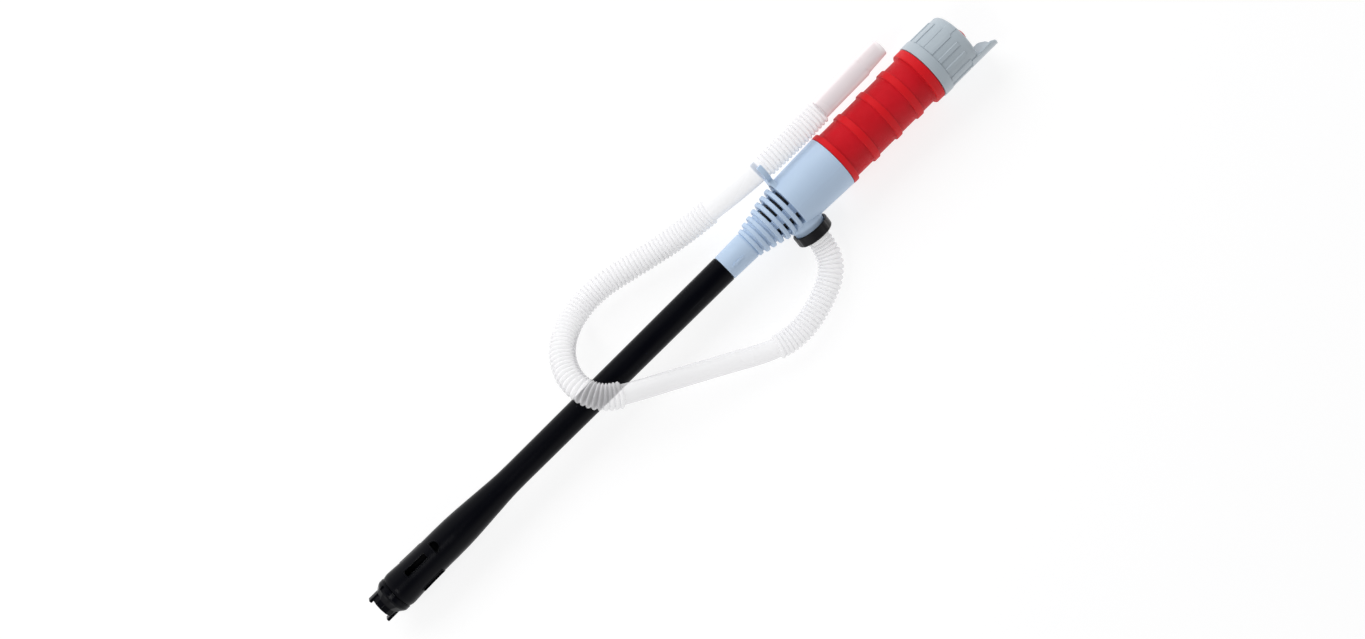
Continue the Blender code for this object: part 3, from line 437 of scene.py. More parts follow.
def corner_arc(before, here, after, fillet):
    """The arc that rounds off an outline's corner, with a point beside each end to keep the flats flat."""
    back, on = before - here, after - here
    room = CORNER_ROOM * min(np.linalg.norm(back), np.linalg.norm(on))
    back, on = back / np.linalg.norm(back), on / np.linalg.norm(on)
    half = 0.5 * math.acos(np.clip(back @ on, -1.0, 1.0))
    turn = math.pi - 2.0 * half
    if not fillet or turn < STRAIGHT:
        return [here]
    reach = min(fillet / math.tan(half), room)
    start, end = here + back * reach, here + on * reach
    centre = here + (back + on) / np.linalg.norm(back + on) * reach / math.cos(half)
    shares = np.linspace(0.0, 1.0, max(2, math.ceil(turn / ARC_STEP)) + 1)
    first = np.sin((1.0 - shares) * turn) / math.sin(turn)
    second = np.sin(shares * turn) / math.sin(turn)
    arc = [centre + a * (start - centre) + b * (end - centre) for a, b in zip(first, second)]
    support = min(SUPPORT, SUPPORT_SHARE * room)
    return [start + back * support, *arc, end + on * support]


def rounded(corners, closed):
    """Turns (x, y, fillet) corners into an outline's points, with an arc at each fillet."""
    flat = [np.array(corner[:2], dtype=float) for corner in corners]
    last = len(corners) - 1
    points = []
    for index, here in enumerate(flat):
        fillet = corners[index][2] if len(corners[index]) > 2 else 0.0
        if not closed and index in (0, last):
            points.append(here)
        else:
            points += corner_arc(flat[index - 1], here, flat[(index + 1) % len(flat)], fillet)
    return np.array(points)


def skin(name, rings, loop, matrix=LAY):
    """A mesh over rings of points, an array of (ring, side, xyz); in a loop the last ring meets the first."""
    count, sides = rings.shape[:2]
    index = np.arange(count * sides).reshape(count, sides)
    upper = index if loop else index[:-1]
    lower = np.roll(index, -1, axis=0) if loop else index[1:]
    faces = np.stack([upper, lower, np.roll(lower, -1, axis=1), np.roll(upper, -1, axis=1)], axis=2)
    mesh = bpy.data.meshes.new(name)
    mesh.from_pydata(rings.reshape(-1, 3).tolist(), [], faces.reshape(-1, 4).tolist())
    bm = bmesh.new()
    bm.from_mesh(mesh)
    bmesh.ops.remove_doubles(bm, verts=bm.verts, dist=WELD)
    bmesh.ops.recalc_face_normals(bm, faces=bm.faces)
    bm.to_mesh(mesh)
    bm.free()
    mesh.transform(matrix)
    return smooth(new_object(name, mesh))


def smooth(shape):
    """Smooth shading, but for the edges that turn by more than SHARP_ANGLE."""
    shape.data.shade_smooth()
    shape.data.set_sharp_from_angle(angle=math.radians(SHARP_ANGLE))
    return shape


def lathe(name, corners, steps=96, shape=None, angles=None, matrix=LAY):
    """A body of revolution about Z.

    Its (radius, height, fillet) corners run down the outer side, and close through a bore unless they start
    on the axis. shape(angles, heights, radii) gives what to add to the radii.
    """
    bored = corners[0][0] > 0.0
    outline = rounded(corners, bored)
    if angles is None:
        angles = np.linspace(0.0, 360.0, steps, endpoint=False)
    turn = np.radians(angles)[None, :]
    radii = outline[:, 0][:, None] * np.ones_like(turn)
    heights = outline[:, 1][:, None] * np.ones_like(turn)
    if shape:
        radii = radii + shape(np.broadcast_to(np.asarray(angles)[None, :], radii.shape), heights, radii)
    rings = np.stack([-radii * np.sin(turn), radii * np.cos(turn), heights], axis=2)
    return skin(name, rings, bored, matrix)


def around(angle):
    """A turn about the wand's axis."""
    return Matrix.Rotation(math.radians(angle), 4, "Z")


def plate(name, outline, low, high, bevel, matrix=LAY):
    """A flat outline in X and Y, thick from low to high along Z, with its rims rounded over."""
    bm = bmesh.new()
    bottom = bm.faces.new([bm.verts.new((x, y, low)) for x, y in outline])
    made = bmesh.ops.extrude_face_region(bm, geom=[bottom])["geom"]
    top = [v for v in made if isinstance(v, bmesh.types.BMVert)]
    bmesh.ops.translate(bm, verts=top, vec=(0.0, 0.0, high - low))
    bmesh.ops.recalc_face_normals(bm, faces=bm.faces)
    if bevel:
        rims = [e for e in bm.edges if abs(e.verts[0].co.z - e.verts[1].co.z) < 1e-6]
        rounding = {"segments": 3, "profile": 0.5, "affect": "EDGES", "clamp_overlap": True}
        bmesh.ops.bevel(bm, geom=rims, offset=bevel, **rounding)
    mesh = bpy.data.meshes.new(name)
    bm.transform(matrix)
    # The booleans need outward faces, and neither the step above nor a mirroring matrix is sure to leave them
    if bm.calc_volume(signed=True) < 0.0:
        bmesh.ops.reverse_faces(bm, faces=bm.faces)
    bm.to_mesh(mesh)
    bm.free()
    return smooth(new_object(name, mesh))


def combine(target, tool, operation):
    """Joins or cuts the tool's volume and leaves a plain mesh; the tool is used up."""
    modifier = target.modifiers.new(operation.title(), "BOOLEAN")
    modifier.operation = operation
    modifier.solver = "MANIFOLD"
    modifier.object = tool
    depsgraph = bpy.context.evaluated_depsgraph_get()
    mesh = bpy.data.meshes.new_from_object(target.evaluated_get(depsgraph))
    target.modifiers.clear()
    target.data = mesh
    bpy.data.objects.remove(tool, do_unlink=True)
    return smooth(target)


def join(target, *others):
    """Puts the others' meshes into the target's, as separate shells of one piece."""
    bm = bmesh.new()
    for shape in (target, *others):
        bm.from_mesh(shape.data)
    bm.to_mesh(target.data)
    bm.free()
    for shape in others:
        bpy.data.objects.remove(shape, do_unlink=True)
    return smooth(target)


def arc(centre, radius, start, end, count):
    """Points on a circle, from one angle in degrees to another."""
    angles = np.radians(np.linspace(start, end, count))
    return [(centre[0] + radius * math.cos(a), centre[1] + radius * math.sin(a)) for a in angles]


def sweep(name, path, radii, sides, matrix=LAY):
    """A round rod along a path of points, with a radius at each and closed ends. Its rings don't twist."""
    path = np.asarray(path, dtype=float)
    ways = np.gradient(path, axis=0)
    ways /= np.linalg.norm(ways, axis=1)[:, None]
    side = np.cross(ways[0], (0.0, 0.0, 1.0))
    if np.linalg.norm(side) < 0.1:
        side = np.cross(ways[0], (0.0, 1.0, 0.0))
    turn = np.linspace(0.0, math.tau, sides, endpoint=False)[:, None]
    rings = []
    for point, way, radius in zip(path, ways, radii):
        side = side - way * (side @ way)
        side = side / np.linalg.norm(side)
        rings.append(point + radius * (np.cos(turn) * side + np.sin(turn) * np.cross(way, side)))
    rings = [np.repeat(path[:1], sides, axis=0), *rings, np.repeat(path[-1:], sides, axis=0)]
    return skin(name, np.array(rings), False, matrix)


# ---- hose ----


def smooth_curve(points):
    """A natural cubic spline through the points, as in part.py; its parameter is the chord length so far."""
    points = np.array(points, dtype=float)
    knots = np.concatenate([[0.0], np.cumsum(np.linalg.norm(np.diff(points, axis=0), axis=1))])
    steps = np.diff(knots)
    slopes = np.diff(points, axis=0) / steps[:, None]
    count = len(points)
    system = np.eye(count)
    right = np.zeros_like(points)
    for i in range(1, count - 1):
        system[i, i - 1 : i + 2] = steps[i - 1], 2 * (steps[i - 1] + steps[i]), steps[i]
        right[i] = 6 * (slopes[i] - slopes[i - 1])
    bends = np.linalg.solve(system, right)

    def at(place):
        i = min(max(int(np.searchsorted(knots, place)) - 1, 0), count - 2)
        u, h = place - knots[i], steps[i]
        start = slopes[i] - h * (2 * bends[i] + bends[i + 1]) / 6
        return points[i] + start * u + bends[i] * u**2 / 2 + (bends[i + 1] - bends[i]) * u**3 / (6 * h)

    return knots, at


def hose_outline(knots):
    """Places along the hose and the radius at each: ribs, plain stretches, and steps between them."""
    places, radii = [], []
    for first, last, start_radius, end_radius, ribbed in HOSE_STRETCHES:
        start, end = knots[first], knots[last]
        if ribbed:
            count = round((end - start) / RIB_PITCH)
            ribs = np.append(np.add.outer(np.arange(count), RIB_PHASES).ravel(), count)
            shares = ribs / count
            ridge = 1.0 - np.abs(2.0 * (ribs % 1.0) - 1.0) ** RIB_FULLNESS
        else:
            shares = np.linspace(0.0, 1.0, max(8, round((end - start) / PLAIN_STEP)))
            ridge = np.ones_like(shares)
        depth = RIB_DEPTH if ribbed else 0.0
        radii.append(start_radius + (end_radius - start_radius) * shares - depth * (1.0 - ridge))
        edge = STRETCH_GAP / (end - start)
        places.append(start + (end - start) * (edge + (1.0 - 2.0 * edge) * shares))
    return np.concatenate(places), np.concatenate(radii)


def hose():
    """The ribbed and plain tube, and the moulded nozzle pushed into its end."""
    knots, at = smooth_curve(HOSE_ROUTE)
    places, radii = hose_outline(knots)
    line = np.array([at(place) for place in places])
    tube = sweep("hose_tube", line, radii, HOSE_SIDES, BENCH)
    tube_path = [BENCH @ Vector(at(place)) for place in np.linspace(0.0, knots[-1], 280)]
    nozzle_outline = (
        (6.95, NOZZLE_LENGTH, 0.7),
        (7.7, 45.6, 0.5),
        (8.45, 43.6, 0.6),
        (7.75, 1.0, 0.4),
        (7.6, 0.3, 0.2),
        (5.2, 0.3, 0.2),
        (5.2, NOZZLE_LENGTH, 0.6),
    )
    facing = NOZZLE_WAY.to_track_quat("Z", "Y").to_matrix().to_4x4()
    stand = BENCH @ Matrix.Translation(HOSE_ROUTE[-1]) @ facing
    nozzle = lathe("nozzle", nozzle_outline, 64, matrix=stand)
    piece(nozzle, "pump", "nozzle_plastic", "hose_nozzle")
    piece(tube, "pump", "hose_plastic", "hose")
    tuple(tube_path[0])


camera()
hose()


# ---- intake ----

FOOT_FACE = 4.0
NOSE_TOP = 13.0
NOSE_BLEND = 1.2
FOOT_FACETS = 12
FACET_FULLNESS = 1.012
NOSE_WALL = 9.0
UP_ANGLE = 90.0 - math.degrees(ROLL)
WINDOW_TURN, LUG_TURN = UP_ANGLE - 40.0, UP_ANGLE - 12.0
# Each prong's turn and the height of its tip
PRONG_TIPS = ((0.0, 1.6), (180.0, 0.0))


def facets(angles, heights, radii):
    """Flattens the nose into facets, out to the smooth band, and leaves the bore round."""
    part = 360.0 / FOOT_FACETS
    off = np.radians((angles + part / 2) % part - part / 2)
    flat = math.cos(math.radians(part / 2)) / np.cos(off)
    share = np.clip((NOSE_TOP + NOSE_BLEND - heights) / NOSE_BLEND, 0.0, 1.0) * (radii > NOSE_WALL)
    return radii * (flat * FACET_FULLNESS - 1.0) * share


def foot():
    """The strainer foot: a facetted nose, two prongs, and a band with snap windows and lugs."""
    body = lathe(
        "foot",
        [
            (11.2, FOOT_TOP + 8.0, 0.3),
            (11.8, FOOT_TOP + 7.0, 0.3),
            (11.8, FOOT_TOP - 0.2),
            (13.7, FOOT_TOP - 0.2),
            (13.7, FOOT_TOP - 0.9),
            (14.4, FOOT_TOP - 0.9, 0.35),
            (14.4, 15.8, 0.5),
            (13.7, 14.2, 0.5),
            (12.9, NOSE_TOP, 0.3),
            (10.2, 9.0, 1.0),
            (9.7, FOOT_FACE, 0.6),
            (7.8, FOOT_FACE, 0.5),
            (7.8, 12.0, 1.0),
            (10.0, 17.0, 0.5),
            (10.0, FOOT_TOP + 8.0),
        ],
        144,
        facets,
    )
    opening = rounded([(-2.0, 13.9, 0.4), (2.0, 13.9, 0.4), (2.0, 18.0, 0.4), (-2.0, 18.0, 0.4)], True)
    lug = rounded([(-0.8, 14.9, 0.3), (0.8, 14.9, 0.3), (0.8, 17.2, 0.3), (-0.8, 17.2, 0.3)], True)
    added = []
    for half_turn, tip in PRONG_TIPS:
        window = plate("window", opening, 12.9, 16.0, 0.0, LAY @ around(WINDOW_TURN + half_turn) @ OUTWARD)
        combine(body, window, "DIFFERENCE")
        prong = rounded([(-3.2, tip, 0.6), (3.2, tip, 0.6), (3.0, 15.0, 0.4), (-3.0, 15.0, 0.4)], True)
        stand = LAY @ around(half_turn) @ Matrix.Translation((0.0, 9.9, 0.0))
        added.append(plate(f"prong_{half_turn:.0f}", prong, -1.2, 1.1, 0.35, stand @ OUTWARD))
        stand = LAY @ around(LUG_TURN + half_turn) @ Matrix.Translation((0.0, 13.6, 0.0))
        added.append(plate(f"lug_{half_turn:.0f}", lug, 0.0, 1.35, 0.3, stand @ OUTWARD))
    join(body, *added)
    piece(body, "pump", "black_plastic", "intake_foot")


SLOT_LOW, SLOT_HIGH, SLOT_WIDTH = 35.8, 56.8, 5.9
SLOT_TURN = 53.0
PORT_LOW, PORT_HIGH, PORT_WIDTH = 62.8, 69.3, 10.9
CUT_NEAR, CUT_FAR = 9.0, 18.0
RIM_SPACING = 0.8
# Height on the wand and the tube's radius there
TUBE_OUTLINE = (
    (360.4, 10.7),
    (300.0, 10.5),
    (240.0, 10.3),
    (190.0, 10.1),
    (160.0, 10.0),
    (145.0, 9.95),
    (134.0, 10.1),
    (126.0, 10.5),
    (114.0, 11.4),
    (102.0, 12.3),
    (92.0, 13.0),
    (82.0, 13.5),
    (70.0, 13.65),
    (60.0, 13.6),
    (48.0, 13.65),
    (38.0, 13.9),
    (30.0, 14.4),
    (23.4, 14.75),
)


def tube_radius(height):
    heights, radii = zip(*reversed(TUBE_OUTLINE))
    return float(np.interp(height, heights, radii))


def rim(name, outline, turn, lift=0.05, radius=0.42):
    """A thin raised bead round an opening, given as (across, height) points on the tube's surface."""
    points = []
    for across, height in outline:
        reach = tube_radius(height) + lift
        angle = across / reach
        points.append((-reach * math.sin(angle), reach * math.cos(angle), height))
    path = np.array([*points[-2:], *points, *points[:2]])
    ways = np.gradient(path, axis=0)[2:-2]
    ways /= np.linalg.norm(ways, axis=1)[:, None]
    steps = np.linspace(0.0, math.tau, 8, endpoint=False)[:, None]
    rings = []
    for point, way in zip(points, ways):
        out = np.array((point[0], point[1], 0.0))
        out /= np.linalg.norm(out)
        rings.append(np.array(point) + radius * (np.cos(steps) * out + np.sin(steps) * np.cross(way, out)))
    return skin(name, np.array(rings), True, LAY @ around(turn))


def resample(outline, spacing):
    """Points at an even spacing round a closed outline."""
    loop = np.vstack([outline, outline[:1]])
    reach = np.concatenate([[0.0], np.cumsum(np.linalg.norm(np.diff(loop, axis=0), axis=1))])
    places = np.linspace(0.0, reach[-1], max(12, round(reach[-1] / spacing)), endpoint=False)
    return np.stack([np.interp(places, reach, loop[:, axis]) for axis in (0, 1)], axis=1)


def suction_tube():
    """The long tube, with four slots and two D-shaped ports near its foot, each with a raised rim."""
    outer = [(radius, height, 30.0) for height, radius in TUBE_OUTLINE]
    tube = lathe(
        "tube",
        [
            (9.3, 381.6, 0.4),
            (9.3, 360.4),
            outer[0],
            *outer[1:],
            (14.2, FOOT_TOP + 0.8, 0.8),
            (13.9, FOOT_TOP + GAP, 0.3),
            (12.1, FOOT_TOP + GAP, 0.4),
            (12.1, 86.0, 3.0),
            (7.9, 142.0, 6.0),
            (7.9, 381.6, 0.3),
        ],
        128,
    )
    half = SLOT_WIDTH / 2
    corners = [(half, SLOT_LOW, 0.9), (half, SLOT_HIGH, 0.9), (-half, SLOT_HIGH, 0.9), (-half, SLOT_LOW, 0.9)]
    slot = rounded(corners, True)
    wide = PORT_WIDTH / 2
    bulge = arc((0.0, 0.0), wide, 2.0, 178.0, 25)
    port = np.array([(x, PORT_LOW + y * (PORT_HIGH - PORT_LOW) / wide) for x, y in bulge])
    rims = []
    for quarter in range(4):
        turn = SLOT_TURN + 90.0 * quarter
        stand = LAY @ around(turn) @ OUTWARD
        combine(tube, plate("slot", slot, CUT_NEAR, CUT_FAR, 0.0, stand), "DIFFERENCE")
        rims.append(rim(f"slot_rim_{quarter}", resample(slot, RIM_SPACING), turn))
        if quarter % 2 == 0:
            combine(tube, plate("port", port, CUT_NEAR, CUT_FAR, 0.0, stand), "DIFFERENCE")
            rims.append(rim(f"port_rim_{quarter}", resample(port, RIM_SPACING), turn, 0.1, 0.5))
    join(tube, *rims)
    piece(tube, "pump", "black_plastic", "suction_tube")


foot()
suction_tube()


# ---- pump housing ----

NECK_LOW = 360.8
# Middle height and radius of each fin
FINS = (
    (387.9, 12.4),
    (393.4, 14.1),
    (399.0, 15.2),
    (405.0, 16.6),
    (410.6, 18.1),
    (416.4, 19.0),
    (422.3, 20.1),
)
FIN_HALF = 1.7
CORE_SHARE = 0.82
HOUSING_LOW, HOUSING_TOP = 426.8, 473.2
VENT_REACH = (9.0, 20.0)
VENT_MARGIN = 0.06
FIRST_VENTED_FIN = 3
VENT_SPANS = ((4.0, 71.0), (101.0, 134.0), (-71.0, -4.0), (-134.0, -101.0))
PARTING_ANGLE, PARTING_HALF, PARTING_RISE, PARTING_REACH = 90.0, 0.5, 0.06, 10.5
OUTLET_HEIGHT, OUTLET_LEAN = 429.5, 4.0
OUTLET_TURN = Matrix.Rotation(math.radians(90.0 + OUTLET_LEAN), 4, "X")
OUTLET = Matrix.Translation((0.0, 0.0, OUTLET_HEIGHT)) @ OUTLET_TURN
BOSS_RADIUS, BOSS_ROOT, BOSS_END = 12.6, 14.6, 27.0
NUT_LOW, NUT_HIGH, NUT_RADIUS = 23.3, 31.4, 15.4
NUT_FACE = 1.3


def core_radius(height):
    centres, radii = zip(*FINS)
    return float(np.interp(height, centres, [CORE_SHARE * radius for radius in radii]))


def parting_line(angles, heights, radii):
    """A hair of flash where the two halves of the mould met, on the outside only."""
    off = np.minimum(np.abs(angles - PARTING_ANGLE), np.abs(angles - PARTING_ANGLE - 180.0))
    return PARTING_RISE * np.clip(1.0 - off / PARTING_HALF, 0.0, 1.0) * (radii > PARTING_REACH)


def housing_shell():
    """The housing's outside: motor body, finned cone and neck sleeve."""
    outline = [(0.0, HOUSING_TOP), (22.6, HOUSING_TOP, 0.3), (21.3, 432.0, 4.0), (20.9, HOUSING_LOW, 0.7)]
    outline.append((core_radius(HOUSING_LOW), HOUSING_LOW))
    for centre, radius in reversed(FINS):
        outline += [
            (core_radius(centre + FIN_HALF), centre + FIN_HALF),
            (radius, centre + FIN_HALF, 0.8),
            (radius - 0.3, centre - FIN_HALF, 0.8),
            (core_radius(centre - FIN_HALF), centre - FIN_HALF),
        ]
    outline += [(11.0, 384.9), (11.3, 384.2, 0.5), (10.7, NECK_LOW, 0.4), (0.0, NECK_LOW)]
    sides = np.add.outer((PARTING_ANGLE, PARTING_ANGLE + 180.0), (-PARTING_HALF, PARTING_HALF))
    angles = np.union1d(np.arange(0.0, 360.0, 2.5), sides)
    return lathe("housing", outline, shape=parting_line, angles=angles)


def housing():
    """Neck sleeve, finned cone and motor housing in one moulding, with its outlet boss and vents."""
    shell = housing_shell()
    boss_outline = [
        (0.0, BOSS_END),
        (BOSS_RADIUS, BOSS_END, 0.5),
        (BOSS_RADIUS, NUT_LOW - 1.5, 2.0),
        (BOSS_ROOT, NUT_LOW - 4.5, 2.0),
        (BOSS_ROOT, 9.0),
        (0.0, 9.0),
    ]
    boss = lathe("boss", boss_outline, 72, matrix=LAY @ OUTLET)
    combine(shell, boss, "UNION")
    cavity = lathe(
        "cavity",
        [
            (0.0, HOUSING_TOP + 1.0),
            (19.1, HOUSING_TOP + 1.0),
            (19.1, 455.0),
            (15.6, 455.0),
            (15.6, 435.4),
            (13.8, 435.4),
            (13.8, 416.0),
            (12.2, 405.0),
            (9.6, 391.0),
            (9.6, NECK_LOW - 1.0),
            (0.0, NECK_LOW - 1.0),
        ],
        72,
    )
    combine(shell, cavity, "DIFFERENCE")
    bore = lathe("bore", [(0.0, 30.0), (7.3, 30.0), (7.3, 2.0), (0.0, 2.0)], 48, matrix=LAY @ OUTLET)
    combine(shell, bore, "DIFFERENCE")
    levels = [centre for centre, _ in FINS[FIRST_VENTED_FIN:]] + [HOUSING_LOW + FIN_HALF]
    near, far = VENT_REACH
    for low, high in zip(levels, levels[1:]):
        for start, end in VENT_SPANS:
            sector = [*arc((0.0, 0.0), far, start, end, 12), *arc((0.0, 0.0), near, end, start, 12)]
            floor, roof = low + FIN_HALF + VENT_MARGIN, high - FIN_HALF - VENT_MARGIN
            combine(shell, plate("vent", sector, floor, roof, 0.0, LAY @ around(90.0)), "DIFFERENCE")
    piece(shell, "pump", "blue_plastic", "pump_housing")


ARROW_TIP, ARROW_NOTCH, ARROW_BARB, ARROW_TAIL = 365.1, 369.0, 369.2, 376.2
ARROW_SHAFT, ARROW_HEAD = 0.7, 1.35
ARROW_BASE, ARROW_TOP = 10.4, 11.6


def flow_arrow():
    """The small raised arrow on the neck, which points to the foot."""
    side = [(ARROW_HEAD, ARROW_BARB), (ARROW_SHAFT, ARROW_NOTCH), (ARROW_SHAFT, ARROW_TAIL)]
    corners = [(0.0, ARROW_TIP), *side, *[(-x, y) for x, y in reversed(side)]]
    outline = rounded([(x, y, 0.25) for x, y in corners], True)
    arrow = plate("flow_arrow", outline, ARROW_BASE, ARROW_TOP, 0.22, LAY @ around(PARTING_ANGLE) @ OUTWARD)
    piece(arrow, "pump", "blue_plastic")


CLIP_CENTRE = 35.4
CLIP_LOW, CLIP_HIGH = 426.8, 430.9
CLIP_BORE, CLIP_OUTER, CLIP_TIP = 9.5, 11.4, 40.0
WEB_TOP, WEB_FOOT = (5.6, 25.5), (9.0, 18.4)


def hose_clip():
    """The open ring on its web that holds the hose against the housing's clip side."""
    reach = CLIP_TIP - CLIP_CENTRE
    inner_end = math.degrees(math.asin(reach / CLIP_BORE))
    outer_end = math.degrees(math.asin(reach / CLIP_OUTER))
    web = math.degrees(math.asin(WEB_TOP[0] / CLIP_OUTER))
    outer = arc((0.0, CLIP_CENTRE), CLIP_OUTER, outer_end, -90.0 + web, 22)
    inner = arc((0.0, CLIP_CENTRE), CLIP_BORE, -180.0 - inner_end, inner_end, 49)
    mirrored = [(-x, y) for x, y in reversed(outer)]
    side, root = WEB_FOOT
    outline = [*outer, (side, root), (-side, root), *mirrored, *inner]
    clip = plate("hose_clip", outline, CLIP_LOW, CLIP_HIGH, 0.6)
    piece(clip, "pump", "blue_plastic")


PANEL_DEPTH, PANEL_HALF, PANEL_SLOPE = 0.45, 40.0, 3.0
NUT_TURN = 12.0


def nut_panels(angles, heights, radii):
    """Four shallow finger panels round the nut, with lands between them."""
    off = np.abs((angles + 45.0) % 90.0 - 45.0)
    return -PANEL_DEPTH * np.clip((PANEL_HALF - off) / PANEL_SLOPE, 0.0, 1.0) * (radii > NUT_RADIUS - 0.9)


def outlet_nut():
    """The union nut, which is bored for the hose tail and holds its flange."""
    nut = lathe(
        "union_nut",
        [
            (NUT_RADIUS, NUT_HIGH, 1.0),
            (NUT_RADIUS, NUT_LOW, 0.6),
            (13.3, NUT_LOW, 0.5),
            (13.3, NUT_HIGH - NUT_FACE),
            (9.8, NUT_HIGH - NUT_FACE),
            (9.8, NUT_HIGH, 0.5),
        ],
        120,
        nut_panels,
        matrix=LAY @ OUTLET @ around(NUT_TURN),
    )
    piece(nut, "outlet_nut", "nut_plastic", "outlet_nut")


housing()
flow_arrow()
hose_clip()
outlet_nut()


# ---- grip and batteries ----

GRIP_LOW, GRIP_TOP, GRIP_RADIUS = 473.5, 566.5, 20.8
# Lower edge, upper edge and radius of each ring
GRIP_RINGS = (
    (473.5, 478.3, 22.8),
    (495.4, 501.0, 22.0),
    (518.7, 524.1, 22.0),
    (540.2, 546.1, 22.0),
    (559.4, 566.5, 23.4),
)
BATTERY_TUBE_LOW, BATTERY_TUBE_TOP = 455.3, 592.0
STRIP_SIZE = (5.0, 0.5)
STRIP_DEPTH = 17.6
STRIP_LOW, STRIP_HIGH = 468.7, 590.5
SLEEVE_BORE = 19.1
SEAL_REACH, SEAL_HEIGHT, SEAL_SECTION = 20.0, 570.5, 0.82


def grip():
    """The soft sleeve with its five raised rings."""
    outline = []
    for low, high, radius in reversed(GRIP_RINGS):
        outline += [
            (GRIP_RADIUS, high, 0.5),
            (radius, high, 0.55),
            (radius, low, 0.55),
            (GRIP_RADIUS, low, 0.5),
        ]
    bore = [(SLEEVE_BORE, GRIP_LOW, 0.2), (SLEEVE_BORE, GRIP_TOP, 0.3)]
    sleeve = lathe("sleeve", [*outline[1:-1], *bore], 112)
    piece(sleeve, "pump", "red_grip", "grip_sleeve")


def battery_holder():
    """The tube round the cells, and the brass strip that lies in its groove."""
    tube = lathe(
        "holder_tube",
        [
            (18.8, BATTERY_TUBE_TOP, 0.6),
            (18.8, BATTERY_TUBE_LOW),
            (15.6, BATTERY_TUBE_LOW),
            (15.6, 465.6),
            (1.7, 465.6),
            (1.7, 467.2),
            (17.3, 467.2),
            (17.3, BATTERY_TUBE_TOP, 0.5),
        ],
        96,
    )
    groove = plate("groove", [(-2.9, -18.2), (2.9, -18.2), (2.9, -15.2), (-2.9, -15.2)], 468.2, 593.2, 0.0)
    combine(tube, groove, "DIFFERENCE")
    piece(tube, "pump", "white_plastic", "battery_tube")
    width, thickness = STRIP_SIZE
    right, top = width / 2, STRIP_DEPTH + thickness / 2
    corners = [(-right, -top), (right, -top), (right, thickness - top), (-right, thickness - top)]
    outline = rounded([(x, y, 0.1) for x, y in corners], True)
    strip = plate("return_strip", outline, STRIP_LOW, STRIP_HIGH, 0.1)
    piece(strip, "pump", "brass", "contact_strip")


def cells():
    """Two D cells, each with its crimped rim, its nub and its insulating ring."""
    lower = ("cell_lower", "lower_battery", 0.0)
    upper = ("cell_upper", "upper_battery", CELL_LENGTH + GAP)
    for name, node, start in (lower, upper):
        low = CELL_START + start
        high = low + CELL_LENGTH
        cell = lathe(
            name,
            [
                (0.0, high - 0.5),
                (9.0, high - 0.5, 0.3),
                (9.6, high - 0.1, 0.3),
                (13.6, high - 0.1, 0.3),
                (14.6, high - 0.9, 0.3),
                (15.4, high, 0.3),
                (16.4, high, 0.6),
                (16.5, high - 1.6, 0.4),
                (16.6, high - 2.0),
                (16.6, low + 2.6, 0.5),
                (15.6, low + 1.5, 0.5),
                (4.75, low + 1.5, 0.4),
                (4.75, low, 0.5),
                (0.0, low),
            ],
            96,
        )
        piece(cell, "pump", "cell_case", node)


def seal_ring():
    """The O-ring that the cap slides over."""
    circle = arc((0.0, 0.0), SEAL_SECTION, 90.0, -255.0, 24)
    section = [(SEAL_REACH + x, SEAL_HEIGHT + z) for x, z in circle]
    ring = lathe("o_ring", section, 128)
    piece(ring, "pump", "seal_rubber", "cap_seal")


grip()
battery_holder()
cells()
seal_ring()


# ---- end cap ----

CAP_LOW, CAP_TOP, CAP_BORE = 566.8, 602.7, 21.1
FLANGE_RADIUS, FLANGE_TOP = 24.0, 575.0
RIB_LOW, RIB_HIGH, RIB_RISE = 575.4, 595.2, 0.62
RIB_TURN, RIB_SPAN, FIRST_RIB = 22.5, 9.0, 75.5
RIB_SLOPE, RIB_DROP = 1.5, 0.6
PAD_START, PAD_END = 38.5, 58.3
RELIEF_EDGE, RIB_END, PAD_SHARE = 0.3, 0.4, 0.8
WING_INNER, WING_OUTER = 21.6, 23.4
WING_HALF = 17.0
WING_BASE = CAP_TOP - 7.0
WING_TURN = -8.0
WING_ROWS, WING_COLUMNS = 18, 71
WING_EDGE = 0.5
BEAD_HALF, BEAD_RADIUS = 4.6, 1.1
TOTAL_LENGTH = 622.0
SPRING_NARROW, SPRING_WIDEN, SPRING_TURNS, SPRING_HEIGHT, SPRING_WIRE = 4.0, 6.0, 3.0, 2.2, 0.84


def ramp(value, start, end):
    """From 0 at the start to 1 at the end."""
    return np.clip((value - start) / (end - start), 0.0, 1.0)


def cap_relief(angles, heights, radii):
    """Raised finger ribs round the cap, and one raised pad that runs on over the shoulder."""
    phase = (angles - FIRST_RIB) % RIB_TURN
    rib = ramp(phase, 0.0, RIB_SLOPE) * ramp(phase, RIB_SPAN, RIB_SPAN - RIB_DROP)
    start = ramp(heights, RIB_LOW - RELIEF_EDGE, RIB_LOW)
    rib = rib * start * ramp(heights, RIB_HIGH, RIB_HIGH - RIB_END)
    pad = ramp(angles, PAD_START, PAD_START + RIB_SLOPE) * ramp(angles, PAD_END, PAD_END - RIB_DROP)
    pad = pad * start * ramp(heights, CAP_TOP + 0.01, CAP_TOP - 0.5)
    return RIB_RISE * np.maximum(rib, PAD_SHARE * pad) * (radii > CAP_BORE + 0.2) * (heights > FLANGE_TOP)


def relief_angles():
    """Angles for the cap's sides, close together at the edges of each rib and of the pad."""
    within = (0.0, RIB_SLOPE, 3.6, 6.0, RIB_SPAN - RIB_DROP, RIB_SPAN, 11.2, 13.5, 15.8, 18.0, 20.2)
    ribs = (FIRST_RIB + np.add.outer(np.arange(16) * RIB_TURN, within).ravel()) % 360.0
    edges = (PAD_START, PAD_START + RIB_SLOPE, PAD_END - RIB_DROP, PAD_END)
    return np.union1d(np.round(ribs, 6), edges)


